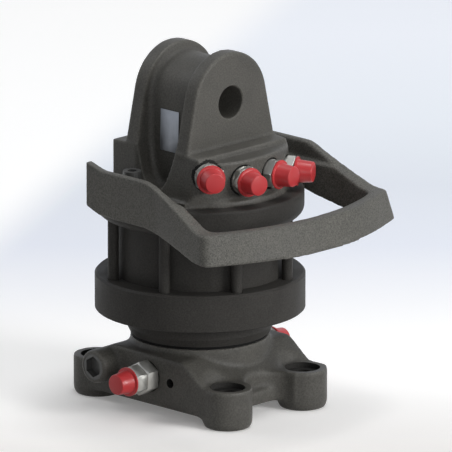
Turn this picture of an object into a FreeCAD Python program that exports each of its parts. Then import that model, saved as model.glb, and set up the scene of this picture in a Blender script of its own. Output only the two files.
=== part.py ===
import FreeCAD, Part
import math
import os

import Sketcher
from FreeCAD import Placement, Rotation, Vector

# Crane rotator for a grapple, modelled in millimetres.
# The slewing axis is Z, the hanging pin lies along Y, and the ports and the hose guard point to -Y.
# The origin is on the slewing axis, in the plane on which the four feet stand.

# Driving dimensions: alias, value, meaning
SIZES = [
    ("foot_pitch_x", 96.0, "bolt feet, hole to hole across"),
    ("foot_pitch_y", 164.0, "bolt feet, hole to hole along the pin"),
    ("foot_radius", 22.5, "foot boss radius"),
    ("foot_height", 36.0, "foot boss height"),
    ("foot_bottom_round", 4.5, "rounding of a foot's lower edge"),
    ("foot_hole", 17.0, "clearance hole for M16"),
    ("foot_sink", 32.0, "counterbore for the bolt head"),
    ("foot_sink_depth", 5.0, "counterbore depth"),
    ("web_underside", 8.5, "flange casting underside above the floor"),
    ("foot_lobe", 21.5, "flat side of the flange casting outside the foot holes"),
    ("bay_wall", 3.5, "wall between the hub and the bay"),
    ("ledge_top", 22.0, "top of the low ledge in the bay"),
    ("ledge_depth", 6.0, "low ledge in front of the bay"),
    ("saddle_rise", 20.0, "saddle of the flange casting above its feet"),
    ("saddle_crest", 46.0, "where the saddle starts to fall, along Y"),
    ("saddle_foot", 72.0, "where the saddle meets the feet, along Y"),
    ("saddle_round", 13.0, "rounding of the saddle"),
    ("hub_rise", 6.3, "hub above the saddle"),
    ("hub_edge", 1.2, "rounding of the hub's top edge"),
    ("pit_radius", 50.0, "hollow below the hub"),
    ("pit_depth", 22.0, "hollow's roof above the floor"),
    ("plug_boss_radius", 15.5, "side boss radius"),
    ("plug_boss_reach", 20.0, "side boss beyond the flat side"),
    ("plug_boss_y", 48.0, "side boss place along Y"),
    ("plug_boss_z", 37.5, "side boss height"),
    ("plug_radius", 12.0, "screw plug radius"),
    ("plug_socket", 17.0, "screw plug hexagon socket across flats"),
    ("plug_depth", 14.0, "screw plug length"),
    ("drill_run_out", 4.0, "depth of a drilled hole beyond its thread"),
    ("plug_recess", 1.0, "how deep the plug sits in its boss"),
    ("side_hole_radius", 4.25, "small tapped hole in the flat side"),
    ("side_hole_y", -30.5, "small tapped hole along Y"),
    ("side_hole_z", 33.5, "small tapped hole height"),
    ("side_hole_depth", 15.0, "small tapped hole depth"),
    ("lower_port_y", -3.0, "lower port along Y on the -X side"),
    ("lower_port_z", 35.0, "lower port height"),
    ("gap_height", 2.7, "running gap between hub and lower cover"),
    ("neck_wall", 5.3, "wall of the lower cover's neck at its bottom edge"),
    ("neck_flare", 3.2, "how far the neck widens above its bottom edge"),
    ("neck_taper", 7.0, "height of the neck's taper"),
    ("collar_height", 8.5, "shaft collar thickness"),
    ("hub_inset", 0.4, "how far the hub stands back from the cover's bottom edge"),
    ("ring_height", 33.6, "height of the lower cover's ring"),
    ("bolt_edge", 2.5, "wall outside the tie bolts' heads"),
    ("ring_chamfer", 2.0, "chamfer of the ring's top edge"),
    ("ring_corner", 0.8, "chamfer of the ring's bottom edge"),
    ("cam_wall", 3.5, "cam ring wall outside the O-ring"),
    ("cam_minor", 50.0, "cam track, small radius"),
    ("cam_lift", 6.0, "how much wider the cam track is one way"),
    ("cam_width", 53.5, "cam ring from face to face"),
    ("drum_height", 24.0, "height of the head casting's drum"),
    ("drum_inset", 1.0, "drum's wall inside the ring's"),
    ("drum_round", 8.5, "rounding of the drum's lower edge"),
    ("disc_edge", 6.1, "raised disc outside the guard screws"),
    ("disc_rise", 5.0, "raised disc above the drum"),
    ("edge_round", 1.5, "rounding of the drum's and disc's edges"),
    ("bolt_count", 8.0, "tie bolts"),
    ("bolt_room", 2.0, "gap between the cam ring and the tie bolts"),
    ("bolt_radius", 5.0, "tie bolt shank radius"),
    ("bolt_play", 0.5, "radial play of the tie bolts in the cover"),
    ("bolt_head_radius", 8.0, "tie bolt head radius"),
    ("bolt_head_height", 10.0, "tie bolt head height"),
    ("bolt_socket", 8.0, "tie bolt hexagon socket across flats"),
    ("bolt_reach", 18.0, "tie bolt engagement in the head"),
    ("ear_radius", 46.0, "ear end radius"),
    ("ear_taper", 12.75, "ear edge taper from the vertical, degrees"),
    ("ear_thickness", 14.5, "ear thickness"),
    ("ear_inner", 24.5, "ear inner face from the middle"),
    ("pin_rise", 38.8, "hanging pin above the shelf"),
    ("pin_radius", 15.0, "hanging pin bore radius"),
    ("pin_chamfer", 1.0, "chamfer of the pin bore"),
    ("shelf_rise", 1.5, "shelf at the foot of the ears above its front edge"),
    ("lip_rise", 4.1, "front edge of the shelf above the step"),
    ("lip_depth", 15.3, "shelf in front of the ears"),
    ("block_height", 35.4, "port block above the raised disc"),
    ("block_half_width", 67.5, "port block half width before its sides are cut"),
    ("block_arc", 98.0, "port block front arc radius"),
    ("block_arc_centre", 24.0, "port block front arc centre along Y"),
    ("block_corner", 8.0, "rounding of the port block's corners"),
    ("shelf_half_width", 57.0, "shelf half width"),
    ("web_half", 37.5, "web between the ears, top radius"),
    ("web_taper", 1.5, "web edge taper from the vertical, degrees"),
    ("valley_top", 18.0, "where the ears' inner faces start to spread, above the shelf"),
    ("valley_floor", 2.0, "floor of the valley between the ears, above the raised disc"),
    ("valley_arc", 150.0, "curve of the ears' inner faces below that height"),
    ("web_fillet", 6.0, "fillet between web and ears"),
    ("ear_round", 2.0, "rounding of the ears' outer edges"),
    ("port_inner_angle", 10.4, "inner ports from -Y, degrees"),
    ("port_outer_angle", 30.8, "outer ports from -Y, degrees"),
    ("port_room", 3.3, "room below the caps of the lowest port"),
    ("port_step", 5.8, "two middle ports above the lowest one"),
    ("port_climb", 12.3, "first port above the lowest one"),
    ("spotface_radius", 14.3, "spotface round each port"),
    ("spotface_depth", 0.8, "spotface depth"),
    ("port_radius", 8.3, "port thread radius"),
    ("port_depth", 14.0, "port thread depth"),
    ("channel_radius", 4.0, "oil channel radius"),
    ("hex_flats", 24.0, "adapter hexagon across flats"),
    ("hex_height", 9.4, "adapter hexagon height"),
    ("long_hex_flats", 27.0, "lower adapter's first hexagon across flats"),
    ("long_hex_height", 14.0, "lower adapter's first hexagon height"),
    ("nut_height", 12.0, "lower adapter's second hexagon height"),
    ("nose_radius", 8.2, "adapter nose radius"),
    ("nose_length", 12.5, "adapter nose length"),
    ("adapter_bore", 4.8, "adapter bore radius"),
    ("thread_play", 0.05, "radial play of a screwed piece"),
    ("washer_height", 1.5, "seal washer thickness"),
    ("washer_radius", 12.6, "seal washer outside radius"),
    ("cap_length", 16.0, "protective cap length"),
    ("cap_flange_radius", 13.2, "cap flange radius"),
    ("cap_flange_height", 1.6, "cap flange thickness"),
    ("cap_root_radius", 10.5, "cap body radius at the flange"),
    ("cap_end_radius", 9.1, "cap body radius at its end"),
    ("cap_play", 0.15, "radial play of a cap on its nose"),
    ("cap_roof", 2.0, "cap end wall"),
    ("cap_edge_round", 0.8, "rounding of the cap's end"),
    ("cap_seat", 0.1, "gap between cap and hexagon"),
    ("guard_reach", 13.5, "hose guard arm, outer face beyond the drum"),
    ("guard_spread", 11.0, "how far the arms spread towards the corners"),
    ("guard_corner_y", 121.0, "hose guard corner towards the front"),
    ("guard_bend_y", 52.0, "where the arms start to spread"),
    ("guard_bend_round", 60.0, "how softly the arms spread"),
    ("guard_corner_wall", 18.0, "guard thickness at its corners"),
    ("guard_corner_round", 9.0, "rounding of the guard's outer corners"),
    ("guard_inner_round", 12.0, "rounding inside the guard's corners"),
    ("guard_bow", 52.8, "how far in front of its corners the bar's two halves would meet"),
    ("guard_front_arc", 242.0, "curve of the front bar, outside"),
    ("guard_inner_arc", 220.0, "curve of the front bar, inside"),
    ("guard_bar_width", 12.0, "hose guard front bar thickness"),
    ("guard_wall", 8.5, "hose guard arm wall"),
    ("guard_foot_wall", 14.5, "hose guard arm thickness below its shelf"),
    ("guard_back_y", 38.0, "back end of the arms"),
    ("lug_height", 9.0, "thickness of the guard lugs"),
    ("guard_margin", 5.0, "spare height of the block that the guard is cut from"),
    ("guard_bar_rise", 21.0, "top of the front bar above the drum's underside"),
    ("guard_bar_height", 28.5, "height of the front bar"),
    ("guard_bar_slope", 3.0, "fall of the bar's underside towards the front"),
    ("guard_dip_y", 108.0, "where the arms reach the bar"),
    ("guard_crest_y", 38.0, "where the arms start to fall"),
    ("guard_crest_rise", 25.5, "top of the arms above the raised disc"),
    ("guard_arm_height", 42.0, "height of the arms beside the head"),
    ("guard_curl_y", 20.0, "where the arms' ends curl up"),
    ("guard_curl_top", 7.0, "rise of the arms' curled ends, above"),
    ("guard_curl_under", 8.0, "rise of the arms' curled ends, below"),
    ("guard_dip_round", 30.0, "curve where arm meets bar"),
    ("guard_crest_round", 40.0, "curve at the crest"),
    ("guard_curl_round", 25.0, "curve at the curled end"),
    ("guard_flare", 12.0, "slope of the guard's outer face, degrees"),
    ("guard_play", 0.3, "gap between the guard and the drum"),
    ("lug_room", 2.7, "gap between a guard lug and the port block"),
    ("lug_y", 15.6, "guard screw along Y"),
    ("lug_radius", 11.0, "guard lug radius"),
    ("guard_screw_radius", 5.0, "guard screw shank radius"),
    ("guard_head_radius", 8.3, "guard screw head radius"),
    ("guard_head_height", 11.0, "guard screw head height"),
    ("guard_screw_reach", 14.0, "guard screw engagement in the drum"),
    ("run_play", 0.05, "radial running clearance"),
    ("face_play", 0.2, "axial running clearance"),
    ("shaft_foot_radius", 54.0, "shaft foot radius"),
    ("shaft_foot_height", 9.0, "shaft foot thickness"),
    ("cavity_room", 4.0, "room round the shaft foot"),
    ("cover_play", 0.5, "gap between the lower cover and the journal"),
    ("spline_height", 3.5, "spline tooth height"),
    ("spline_draft", 0.6, "how much a spline tooth narrows on each side"),
    ("seal_width", 9.0, "shaft seal width"),
    ("seal_height", 6.0, "shaft seal height"),
    ("bush_wall", 5.0, "bush wall"),
    ("lower_bush_height", 10.0, "lower bush height"),
    ("bush_step", 2.0, "step between the lower bush and the thrust bearing"),
    ("thrust_room", 2.0, "thrust race clear of the journal"),
    ("race_width", 16.0, "thrust race width"),
    ("race_height", 3.0, "thrust race thickness"),
    ("ball_radius", 4.0, "thrust ball radius"),
    ("ball_count", 18.0, "thrust balls"),
    ("cage_height", 3.6, "ball cage thickness"),
    ("collar_inset", 2.0, "shaft collar inside the race"),
    ("plate_edge", 2.0, "side plate outside the dowels"),
    ("plate_height", 8.0, "side plate thickness"),
    ("plate_play", 1.0, "gap between a side plate and the shaft"),
    ("rotor_gap", 2.2, "vane rotor inside the cam track"),
    ("vane_count", 12.0, "vanes"),
    ("vane_thickness", 2.5, "vane thickness"),
    ("rotor_web", 4.8, "rotor wall between splines and vane slots"),
    ("vane_play", 0.06, "clearance round a vane"),
    ("spline_step", 1.5, "spline root outside the upper journal"),
    ("spline_count", 16.0, "spline teeth"),
    ("journal_step", 3.0, "upper journal outside the swivel part"),
    ("upper_bush_height", 14.0, "upper bush height"),
    ("swivel_radius", 26.0, "swivel part of the shaft, radius"),
    ("swivel_rise", 9.2, "top of the shaft above the first port"),
    ("groove_depth", 3.0, "oil groove depth"),
    ("groove_half", 1.7, "half height of an oil groove"),
    ("cross_drill", 1.4, "cross drilling in the shaft, radius"),
    ("seal_offset", 4.25, "swivel seals above and below the oil grooves"),
    ("swivel_seal_depth", 2.2, "swivel seal groove depth"),
    ("swivel_seal_half", 0.9, "half height of a swivel seal"),
    ("o_ring_radius", 1.5, "cover O-ring section radius"),
    ("o_ring_wall", 1.0, "wall between side plate and O-ring"),
    ("groove_room", 0.3, "room beside an O-ring in its groove"),
    ("dowel_radius", 3.0, "dowel radius"),
    ("dowel_wall", 6.0, "wall between cam track and dowels"),
    ("dowel_half_length", 7.0, "dowel length in each piece"),
    ("foot_screw_count", 6.0, "screws between flange casting and shaft"),
    ("head_room", 1.0, "room round the heads of the shaft's screws"),
    ("foot_screw_radius", 6.0, "radius of the screws between flange casting and shaft"),
    ("foot_screw_head", 9.0, "head radius of those screws"),
]

doc = FreeCAD.newDocument("rotator")
sheet = doc.addObject("Spreadsheet::Sheet", "Sizes")
for row, (alias, value, meaning) in enumerate(SIZES, start=1):
    sheet.set(f"A{row}", meaning)
    sheet.set(f"B{row}", str(value))
    sheet.setAlias(f"B{row}", alias)
doc.recompute()


# A length or an angle that knows its value now and the expression that gives it
class Size:
    def __init__(self, value, text):
        self.value = value
        self.text = text

    def __add__(self, other):
        other = as_size(other)
        return Size(self.value + other.value, f"({self.text} + {other.text})")

    def __sub__(self, other):
        other = as_size(other)
        return Size(self.value - other.value, f"({self.text} - {other.text})")

    def __mul__(self, other):
        other = as_size(other)
        return Size(self.value * other.value, f"({self.text} * {other.text})")

    def __truediv__(self, other):
        other = as_size(other)
        return Size(self.value / other.value, f"({self.text} / {other.text})")

    def __radd__(self, other):
        return as_size(other) + self

    def __rsub__(self, other):
        return as_size(other) - self

    def __rmul__(self, other):
        return as_size(other) * self

    def __neg__(self):
        return as_size(0.0) - self


def as_size(number):
    return number if isinstance(number, Size) else Size(float(number), repr(float(number)))


def cosine(angle):
    return Size(math.cos(math.radians(angle.value)), f"cos({angle.text} * 1 deg)")


def sine(angle):
    return Size(math.sin(math.radians(angle.value)), f"sin({angle.text} * 1 deg)")


def root(size):
    return Size(math.sqrt(size.value), f"sqrt({size.text})")


def arc_height(radius, offset):
    return root(radius * radius - offset * offset)


S = {alias: Size(float(sheet.get(alias)), f"Sizes.{alias}") for alias, value, meaning in SIZES}


# A size that follows from others has its own row too, as a formula
def follow(alias, size, meaning):
    row = len(S) + 1
    sheet.set(f"A{row}", meaning)
    sheet.set(f"B{row}", "=" + size.text.replace("Sizes.", ""))
    sheet.setAlias(f"B{row}", alias)
    S[alias] = Size(size.value, f"Sizes.{alias}")


follow("upper_journal", S["swivel_radius"] + S["journal_step"], "upper journal radius")
follow("spline_root", S["upper_journal"] + S["spline_step"], "spline root radius")
follow("spline_top", S["spline_root"] + S["spline_height"], "spline top radius")
follow("journal_radius", S["spline_top"] + 0, "lower journal radius")
follow("seal_radius", S["journal_radius"] + S["seal_width"], "shaft seal outside radius")
follow("thrust_inner", S["journal_radius"] + S["thrust_room"], "thrust race inner radius")
follow("thrust_outer", S["thrust_inner"] + S["race_width"], "thrust race outer radius")
follow("collar_radius", S["thrust_outer"] - S["collar_inset"], "shaft collar radius")
follow("cam_major", S["cam_minor"] + S["cam_lift"], "cam track, large radius")
follow("rotor_radius", S["cam_minor"] - S["rotor_gap"], "vane rotor radius")
follow("vane_tip", S["cam_minor"] - S["vane_play"] * 3, "vane tips from the axis")
follow("vane_height", S["vane_tip"] - S["spline_top"] - S["rotor_web"], "vane length, root to tip")
follow("dowel_circle", S["cam_major"] + S["dowel_wall"] + S["dowel_radius"], "dowels from the axis")
follow("plate_radius", S["dowel_circle"] + S["dowel_radius"] + S["plate_edge"], "side plate radius")
follow("o_ring_circle", S["plate_radius"] + S["o_ring_wall"] + S["o_ring_radius"], "cover O-ring radius")
follow("cam_radius", S["o_ring_circle"] + S["o_ring_radius"] + S["cam_wall"], "cam ring outside radius")
follow("bolt_circle", S["cam_radius"] + S["bolt_room"] + S["bolt_radius"], "tie bolt circle radius")
follow("ring_radius", S["bolt_circle"] + S["bolt_head_radius"] + S["bolt_edge"],
       "lower cover's ring radius")
follow("drum_radius", S["ring_radius"] - S["drum_inset"], "head casting's drum radius")
follow("cover_cavity_radius", S["shaft_foot_radius"] + S["cavity_room"],
       "cover cavity round the shaft foot")
follow("neck_tip_radius", S["cover_cavity_radius"] + S["neck_wall"], "lower cover neck at its bottom edge")
follow("neck_radius", S["neck_tip_radius"] + S["neck_flare"], "lower cover neck below the ring")
follow("hub_radius", S["neck_tip_radius"] - S["hub_inset"], "hub of the flange casting")
follow("bay_reach", S["neck_radius"] + S["bay_wall"], "bottom of the bay from the axis")
follow("ledge_reach", S["bay_reach"] + S["ledge_depth"], "front of the low ledge from the axis")
follow("web_half_width", S["foot_pitch_x"] / 2 + S["foot_lobe"],
       "flat sides of the flange casting from the axis")
follow("plug_boss_end", S["web_half_width"] + S["plug_boss_reach"], "side boss end from the axis")
follow("foot_screw_circle", S["pit_radius"] - S["foot_screw_head"] - S["head_room"],
       "circle of the shaft's screws")
follow("ear_outer", S["ear_inner"] + S["ear_thickness"], "ear outer face from the middle")
follow("lip_reach", S["ear_outer"] + S["lip_depth"], "front edge of the shelf from the middle")
follow("lug_x", S["shelf_half_width"] + S["lug_room"] + S["lug_radius"], "guard screw across")
follow("disc_radius", root(S["lug_x"] * S["lug_x"] + S["lug_y"] * S["lug_y"]) + S["disc_edge"],
       "raised disc on the drum")
follow("guard_arm", S["drum_radius"] + S["guard_reach"], "hose guard arm, outer face from the middle")
follow("guard_corner_x", S["guard_arm"] + S["guard_spread"], "hose guard corner across")
follow("saddle_top", S["foot_height"] + S["saddle_rise"], "top of the saddle")
follow("hub_top", S["saddle_top"] + S["hub_rise"], "top of the flange casting's hub")
follow("neck_bottom", S["hub_top"] + S["gap_height"], "underside of the lower cover")
follow("neck_taper_top", S["neck_bottom"] + S["neck_taper"], "height where the neck's taper ends")
follow("shaft_foot_top", S["hub_top"] + S["shaft_foot_height"], "top of the shaft foot")
follow("cavity_top", S["shaft_foot_top"] + S["face_play"] * 2, "roof of the cavity round the shaft foot")
follow("seal_top", S["cavity_top"] + S["seal_height"], "top of the shaft seal")
follow("lower_bush_top", S["seal_top"] + S["lower_bush_height"], "top of the lower bush")
follow("thrust_floor", S["lower_bush_top"] + S["bush_step"], "floor below the thrust bearing")
follow("ball_floor", S["thrust_floor"] + S["race_height"], "top of the lower race")
follow("ball_roof", S["ball_floor"] + S["ball_radius"] * 2 + S["run_play"] * 2,
       "underside of the upper race")
follow("collar_bottom", S["ball_roof"] + S["race_height"], "underside of the shaft collar")
follow("collar_top", S["collar_bottom"] + S["collar_height"], "top of the shaft collar")
follow("lower_plate_bottom", S["collar_top"] + S["face_play"], "underside of the lower side plate")
follow("ring_top", S["lower_plate_bottom"] + S["plate_height"], "top of the lower cover")
follow("ring_bottom", S["ring_top"] - S["ring_height"], "underside of the lower cover's ring")
follow("drum_bottom", S["ring_top"] + S["cam_width"], "underside of the head casting")
follow("drum_top", S["drum_bottom"] + S["drum_height"], "top of the head casting's drum")
follow("disc_top", S["drum_top"] + S["disc_rise"], "top of the raised disc")
follow("crescent_height", S["disc_top"] + S["block_height"], "step above the ports")
follow("lip_height", S["crescent_height"] + S["lip_rise"], "front edge of the shelf")
follow("shelf_height", S["lip_height"] + S["shelf_rise"], "shelf at the foot of the ears")
follow("pin_height", S["shelf_height"] + S["pin_rise"], "hanging pin above the floor")
follow("port_low", S["drum_top"] + S["cap_flange_radius"] + S["port_room"], "height of the last port")
follow("port_middle", S["port_low"] + S["port_step"], "height of the two middle ports")
follow("port_high", S["port_low"] + S["port_climb"], "height of the first port")
follow("swivel_top", S["port_high"] + S["swivel_rise"], "top of the shaft")
follow("guard_shelf", S["disc_top"] + S["lug_height"], "shelf inside the arms")
follow("guard_bar_top", S["drum_bottom"] + S["guard_bar_rise"], "top of the front bar")
follow("guard_bar_bottom", S["guard_bar_top"] - S["guard_bar_height"], "underside of the front bar")
follow("guard_crest", S["disc_top"] + S["guard_crest_rise"], "top of the arms beside the head")
follow("guard_belly", S["guard_crest"] - S["guard_arm_height"], "underside of the arms beside the head")
follow("guard_end_top", S["guard_crest"] + S["guard_curl_top"], "top of the arms' back ends")
follow("guard_end_bottom", S["guard_belly"] + S["guard_curl_under"], "underside of the arms' back ends")
follow("guard_block_top", S["guard_end_top"] + S["guard_margin"],
       "top of the block that the guard is cut from")
follow("guard_block_bottom", S["guard_bar_bottom"] - S["guard_margin"], "bottom of that block")
doc.recompute()


NOTHING = 0
FULL_TURN = 360
NEARLY_ROUND = 0.9  # share of a half width that the rounding of a lobe takes
TOUCH = 0.01


# Sketches, pads and the other features, each bound to the sheet
def new_body(label):
    body = doc.addObject("PartDesign::Body", label)
    body.Label = label
    return body


def plane_of(body, role):
    return next(item for item in body.Origin.OriginFeatures if item.Role == role)


def new_sketch(body, role, shift):
    sketch = body.newObject("Sketcher::SketchObject", f"{body.Name}_sketch")
    sketch.AttachmentSupport = (plane_of(body, role), [""])
    sketch.MapMode = "FlatFace"
    if shift is not None:
        sketch.AttachmentOffset = Placement(Vector(0, 0, shift.value), Rotation())
        sketch.setExpression("AttachmentOffset.Base.z", shift.text)
    return sketch


def bind_constraint(sketch, constraint, size):
    index = sketch.addConstraint(constraint)
    sketch.setExpression(f"Constraints[{index}]", size.text)


def locate(sketch, geometry, point, x, y):
    for kind, axis, along in (("DistanceX", -2, x), ("DistanceY", -1, y)):
        if isinstance(along, Size):
            bind_constraint(sketch, Sketcher.Constraint(kind, geometry, point, along.value), along)
        else:
            sketch.addConstraint(Sketcher.Constraint("PointOnObject", geometry, point, axis))


def arc_between(start, end, radius):
    chord = end - start
    middle = (start + end) * 0.5
    left = Vector(-chord.y, chord.x, 0).normalize()
    rise = math.sqrt(radius * radius - chord.Length * chord.Length / 4)
    centre = middle + left * math.copysign(rise, radius)
    first, last = (start, end) if radius > 0 else (end, start)
    begin = math.atan2(first.y - centre.y, first.x - centre.x)
    finish = math.atan2(last.y - centre.y, last.x - centre.x)
    circle = Part.Circle(centre, Vector(0, 0, 1), abs(radius))
    return Part.ArcOfCircle(circle, begin, finish)


# A corner is (x, y), (x, y, blend) or (x, y, blend, arc). Blend rounds the corner between two straight
# edges, and arc is the radius of a curved edge to the next corner, negative where it turns clockwise.
def closed_profile(body, role, corners, shift=None):
    sketch = new_sketch(body, role, shift)
    rows = [tuple(corner) + (None,) * (4 - len(corner)) for corner in corners]
    count = len(rows)
    spots = [Vector(as_size(x).value, as_size(y).value, 0) for x, y, blend, arc in rows]
    leaving = []
    arriving = []
    for k, (x, y, blend, arc) in enumerate(rows):
        if blend is None:
            leaving.append(spots[k])
            arriving.append(spots[k])
            continue
        back = (spots[k - 1] - spots[k]).normalize()
        ahead = (spots[(k + 1) % count] - spots[k]).normalize()
        half = back.getAngle(ahead) / 2
        reach = blend.value / math.tan(half)
        arriving.append(spots[k] + back * reach)
        leaving.append(spots[k] + ahead * reach)
    edges = []
    for k, (x, y, blend, arc) in enumerate(rows):
        start = leaving[k]
        end = arriving[(k + 1) % count]
        if arc is None:
            index = sketch.addGeometry(Part.LineSegment(start, end))
            edges.append((index, 1, 2))
            continue
        index = sketch.addGeometry(arc_between(start, end, arc.value))
        edges.append((index, 1, 2) if arc.value > 0 else (index, 2, 1))
        size = arc if arc.value > 0 else -arc
        bind_constraint(sketch, Sketcher.Constraint("Radius", index, size.value), size)
    for k, (x, y, blend, arc) in enumerate(rows):
        before = edges[k - 1]
        after = edges[k]
        if blend is None:
            locate(sketch, after[0], after[1], x, y)
            sketch.addConstraint(Sketcher.Constraint("Coincident", before[0], before[2], after[0], after[1]))
            continue
        point = sketch.addGeometry(Part.Point(spots[k]), True)
        locate(sketch, point, 1, x, y)
        sketch.addConstraint(Sketcher.Constraint("PointOnObject", point, 1, before[0]))
        sketch.addConstraint(Sketcher.Constraint("PointOnObject", point, 1, after[0]))
        turn = (spots[k] - spots[k - 1]).cross(spots[(k + 1) % count] - spots[k]).z
        radius = blend.value if turn > 0 else -blend.value
        index = sketch.addGeometry(arc_between(arriving[k], leaving[k], radius))
        ends = (1, 2) if turn > 0 else (2, 1)
        sketch.addConstraint(Sketcher.Constraint("Tangent", before[0], before[2], index, ends[0]))
        sketch.addConstraint(Sketcher.Constraint("Tangent", index, ends[1], after[0], after[1]))
        bind_constraint(sketch, Sketcher.Constraint("Radius", index, blend.value), blend)
    return sketch


def circles(body, role, spots, shift=None):
    sketch = new_sketch(body, role, shift)
    for x, y, radius in spots:
        place = Vector(as_size(x).value, as_size(y).value, 0)
        index = sketch.addGeometry(Part.Circle(place, Vector(0, 0, 1), radius.value))
        bind_constraint(sketch, Sketcher.Constraint("Radius", index, radius.value), radius)
        locate(sketch, index, 3, x, y)
    return sketch


def add_feature(body, kind, sketch, length=None, both_ways=False, backwards=False):
    feature = body.newObject(f"PartDesign::{kind}", f"{body.Name}_{kind.lower()}")
    feature.Profile = sketch
    if kind in ("Revolution", "Groove"):
        feature.ReferenceAxis = (sketch, ["V_Axis"])
        feature.Angle = FULL_TURN
    elif length is None:
        feature.Type = "ThroughAll"
    else:
        feature.Length = length.value
        feature.setExpression("Length", length.text)
    if both_ways:
        feature.SideType = "Symmetric"
    feature.Reversed = backwards
    return feature


def pad(body, sketch, length, **options):
    return add_feature(body, "Pad", sketch, length, **options)


def pocket(body, sketch, length=None, **options):
    return add_feature(body, "Pocket", sketch, length, **options)


def revolve(body, corners, kind="Revolution"):
    return add_feature(body, kind, closed_profile(body, "XZ_Plane", corners))


def polar(body, features, count):
    pattern = body.newObject("PartDesign::PolarPattern", f"{body.Name}_polar")
    pattern.Originals = features
    pattern.Axis = (plane_of(body, "Z_Axis"), [""])
    pattern.Angle = FULL_TURN
    pattern.Occurrences = round(count.value)
    pattern.setExpression("Occurrences", count.text)
    body.Tip = pattern
    return pattern


def mirror(body, features, role):
    pattern = body.newObject("PartDesign::Mirrored", f"{body.Name}_mirrored")
    pattern.Originals = features
    pattern.MirrorPlane = (plane_of(body, role), [""])
    body.Tip = pattern


def dress(body, kind, size, chosen):
    doc.recompute()
    base = body.Tip
    names = [f"Edge{k}" for k, edge in enumerate(base.Shape.Edges, start=1) if chosen(edge)]
    feature = body.newObject(f"PartDesign::{kind}", f"{body.Name}_{kind.lower()}")
    feature.Base = (base, names)
    feature.Refine = False
    measure = "Radius" if kind == "Fillet" else "Size"
    setattr(feature, measure, size.value)
    feature.setExpression(measure, size.text)
    return feature


def near(a, b):
    return abs(a - b) < TOUCH


def ring_body(label, inner, outer, bottom, top):
    body = new_body(label)
    revolve(body, [(inner, bottom), (outer, bottom), (outer, top), (inner, top)])
    return body


def cylinder(label, radius, height):
    item = doc.addObject("Part::Cylinder", label)
    item.Radius = radius.value
    item.setExpression("Radius", radius.text)
    item.Height = height.value
    item.setExpression("Height", height.text)
    return item


def boolean(kind, label, base, tools):
    if kind == "Cut":
        item = doc.addObject("Part::Cut", label)
        item.Base = base
        item.Tool = tools
    else:
        item = doc.addObject(f"Part::Multi{kind}", label)
        item.Shapes = [base] + tools
    return item


def hexagon_corners(flats):
    corner = flats / math.sqrt(3)
    half = flats / 2
    return [
        (corner, 0.0), (corner / 2, half), (-corner / 2, half),
        (-corner, 0.0), (-corner / 2, -half), (corner / 2, -half),
    ]


def hexagon(body, flats, shift, centre=None):
    outline = hexagon_corners(flats)
    if centre is not None:
        outline = [(centre[0] + x, centre[1] + y) for x, y in outline]
    return closed_profile(body, "XY_Plane", outline, shift)


NODES = {}


def keep(label, item):
    item.Label = label
    NODES[label] = item
    return item


# Places that several pieces share
foot_x = S["foot_pitch_x"] / 2
foot_y = S["foot_pitch_y"] / 2
cam_height = S["cam_width"]
upper_plate_top = S["drum_bottom"] + S["plate_height"]
upper_bush_top = upper_plate_top + S["upper_bush_height"]
ball_circle = (S["thrust_inner"] + S["thrust_outer"]) / 2
swivel_bore = S["swivel_radius"] + S["run_play"]
shaft_channel_x = S["swivel_radius"] / 2
journal_bore = S["journal_radius"] + S["run_play"]
valve_x = sine(S["port_inner_angle"]) * (S["cam_minor"] + S["block_arc_centre"])
valve_y = S["block_arc_centre"] - cosine(S["port_inner_angle"]) * (S["cam_minor"] + S["block_arc_centre"])
first_bolt = as_size(FULL_TURN / 2) / S["bolt_count"]
bolt_x = cosine(first_bolt) * S["bolt_circle"]
bolt_y = sine(first_bolt) * S["bolt_circle"]


def four_corners(x, y, radius):
    return [(sx * x, sy * y, radius) for sx in (1.0, -1.0) for sy in (1.0, -1.0)]


def box_outline(x_low, x_high, y_low, y_high):
    return [(x_low, y_low), (x_high, y_low), (x_high, y_high), (x_low, y_high)]


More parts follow.
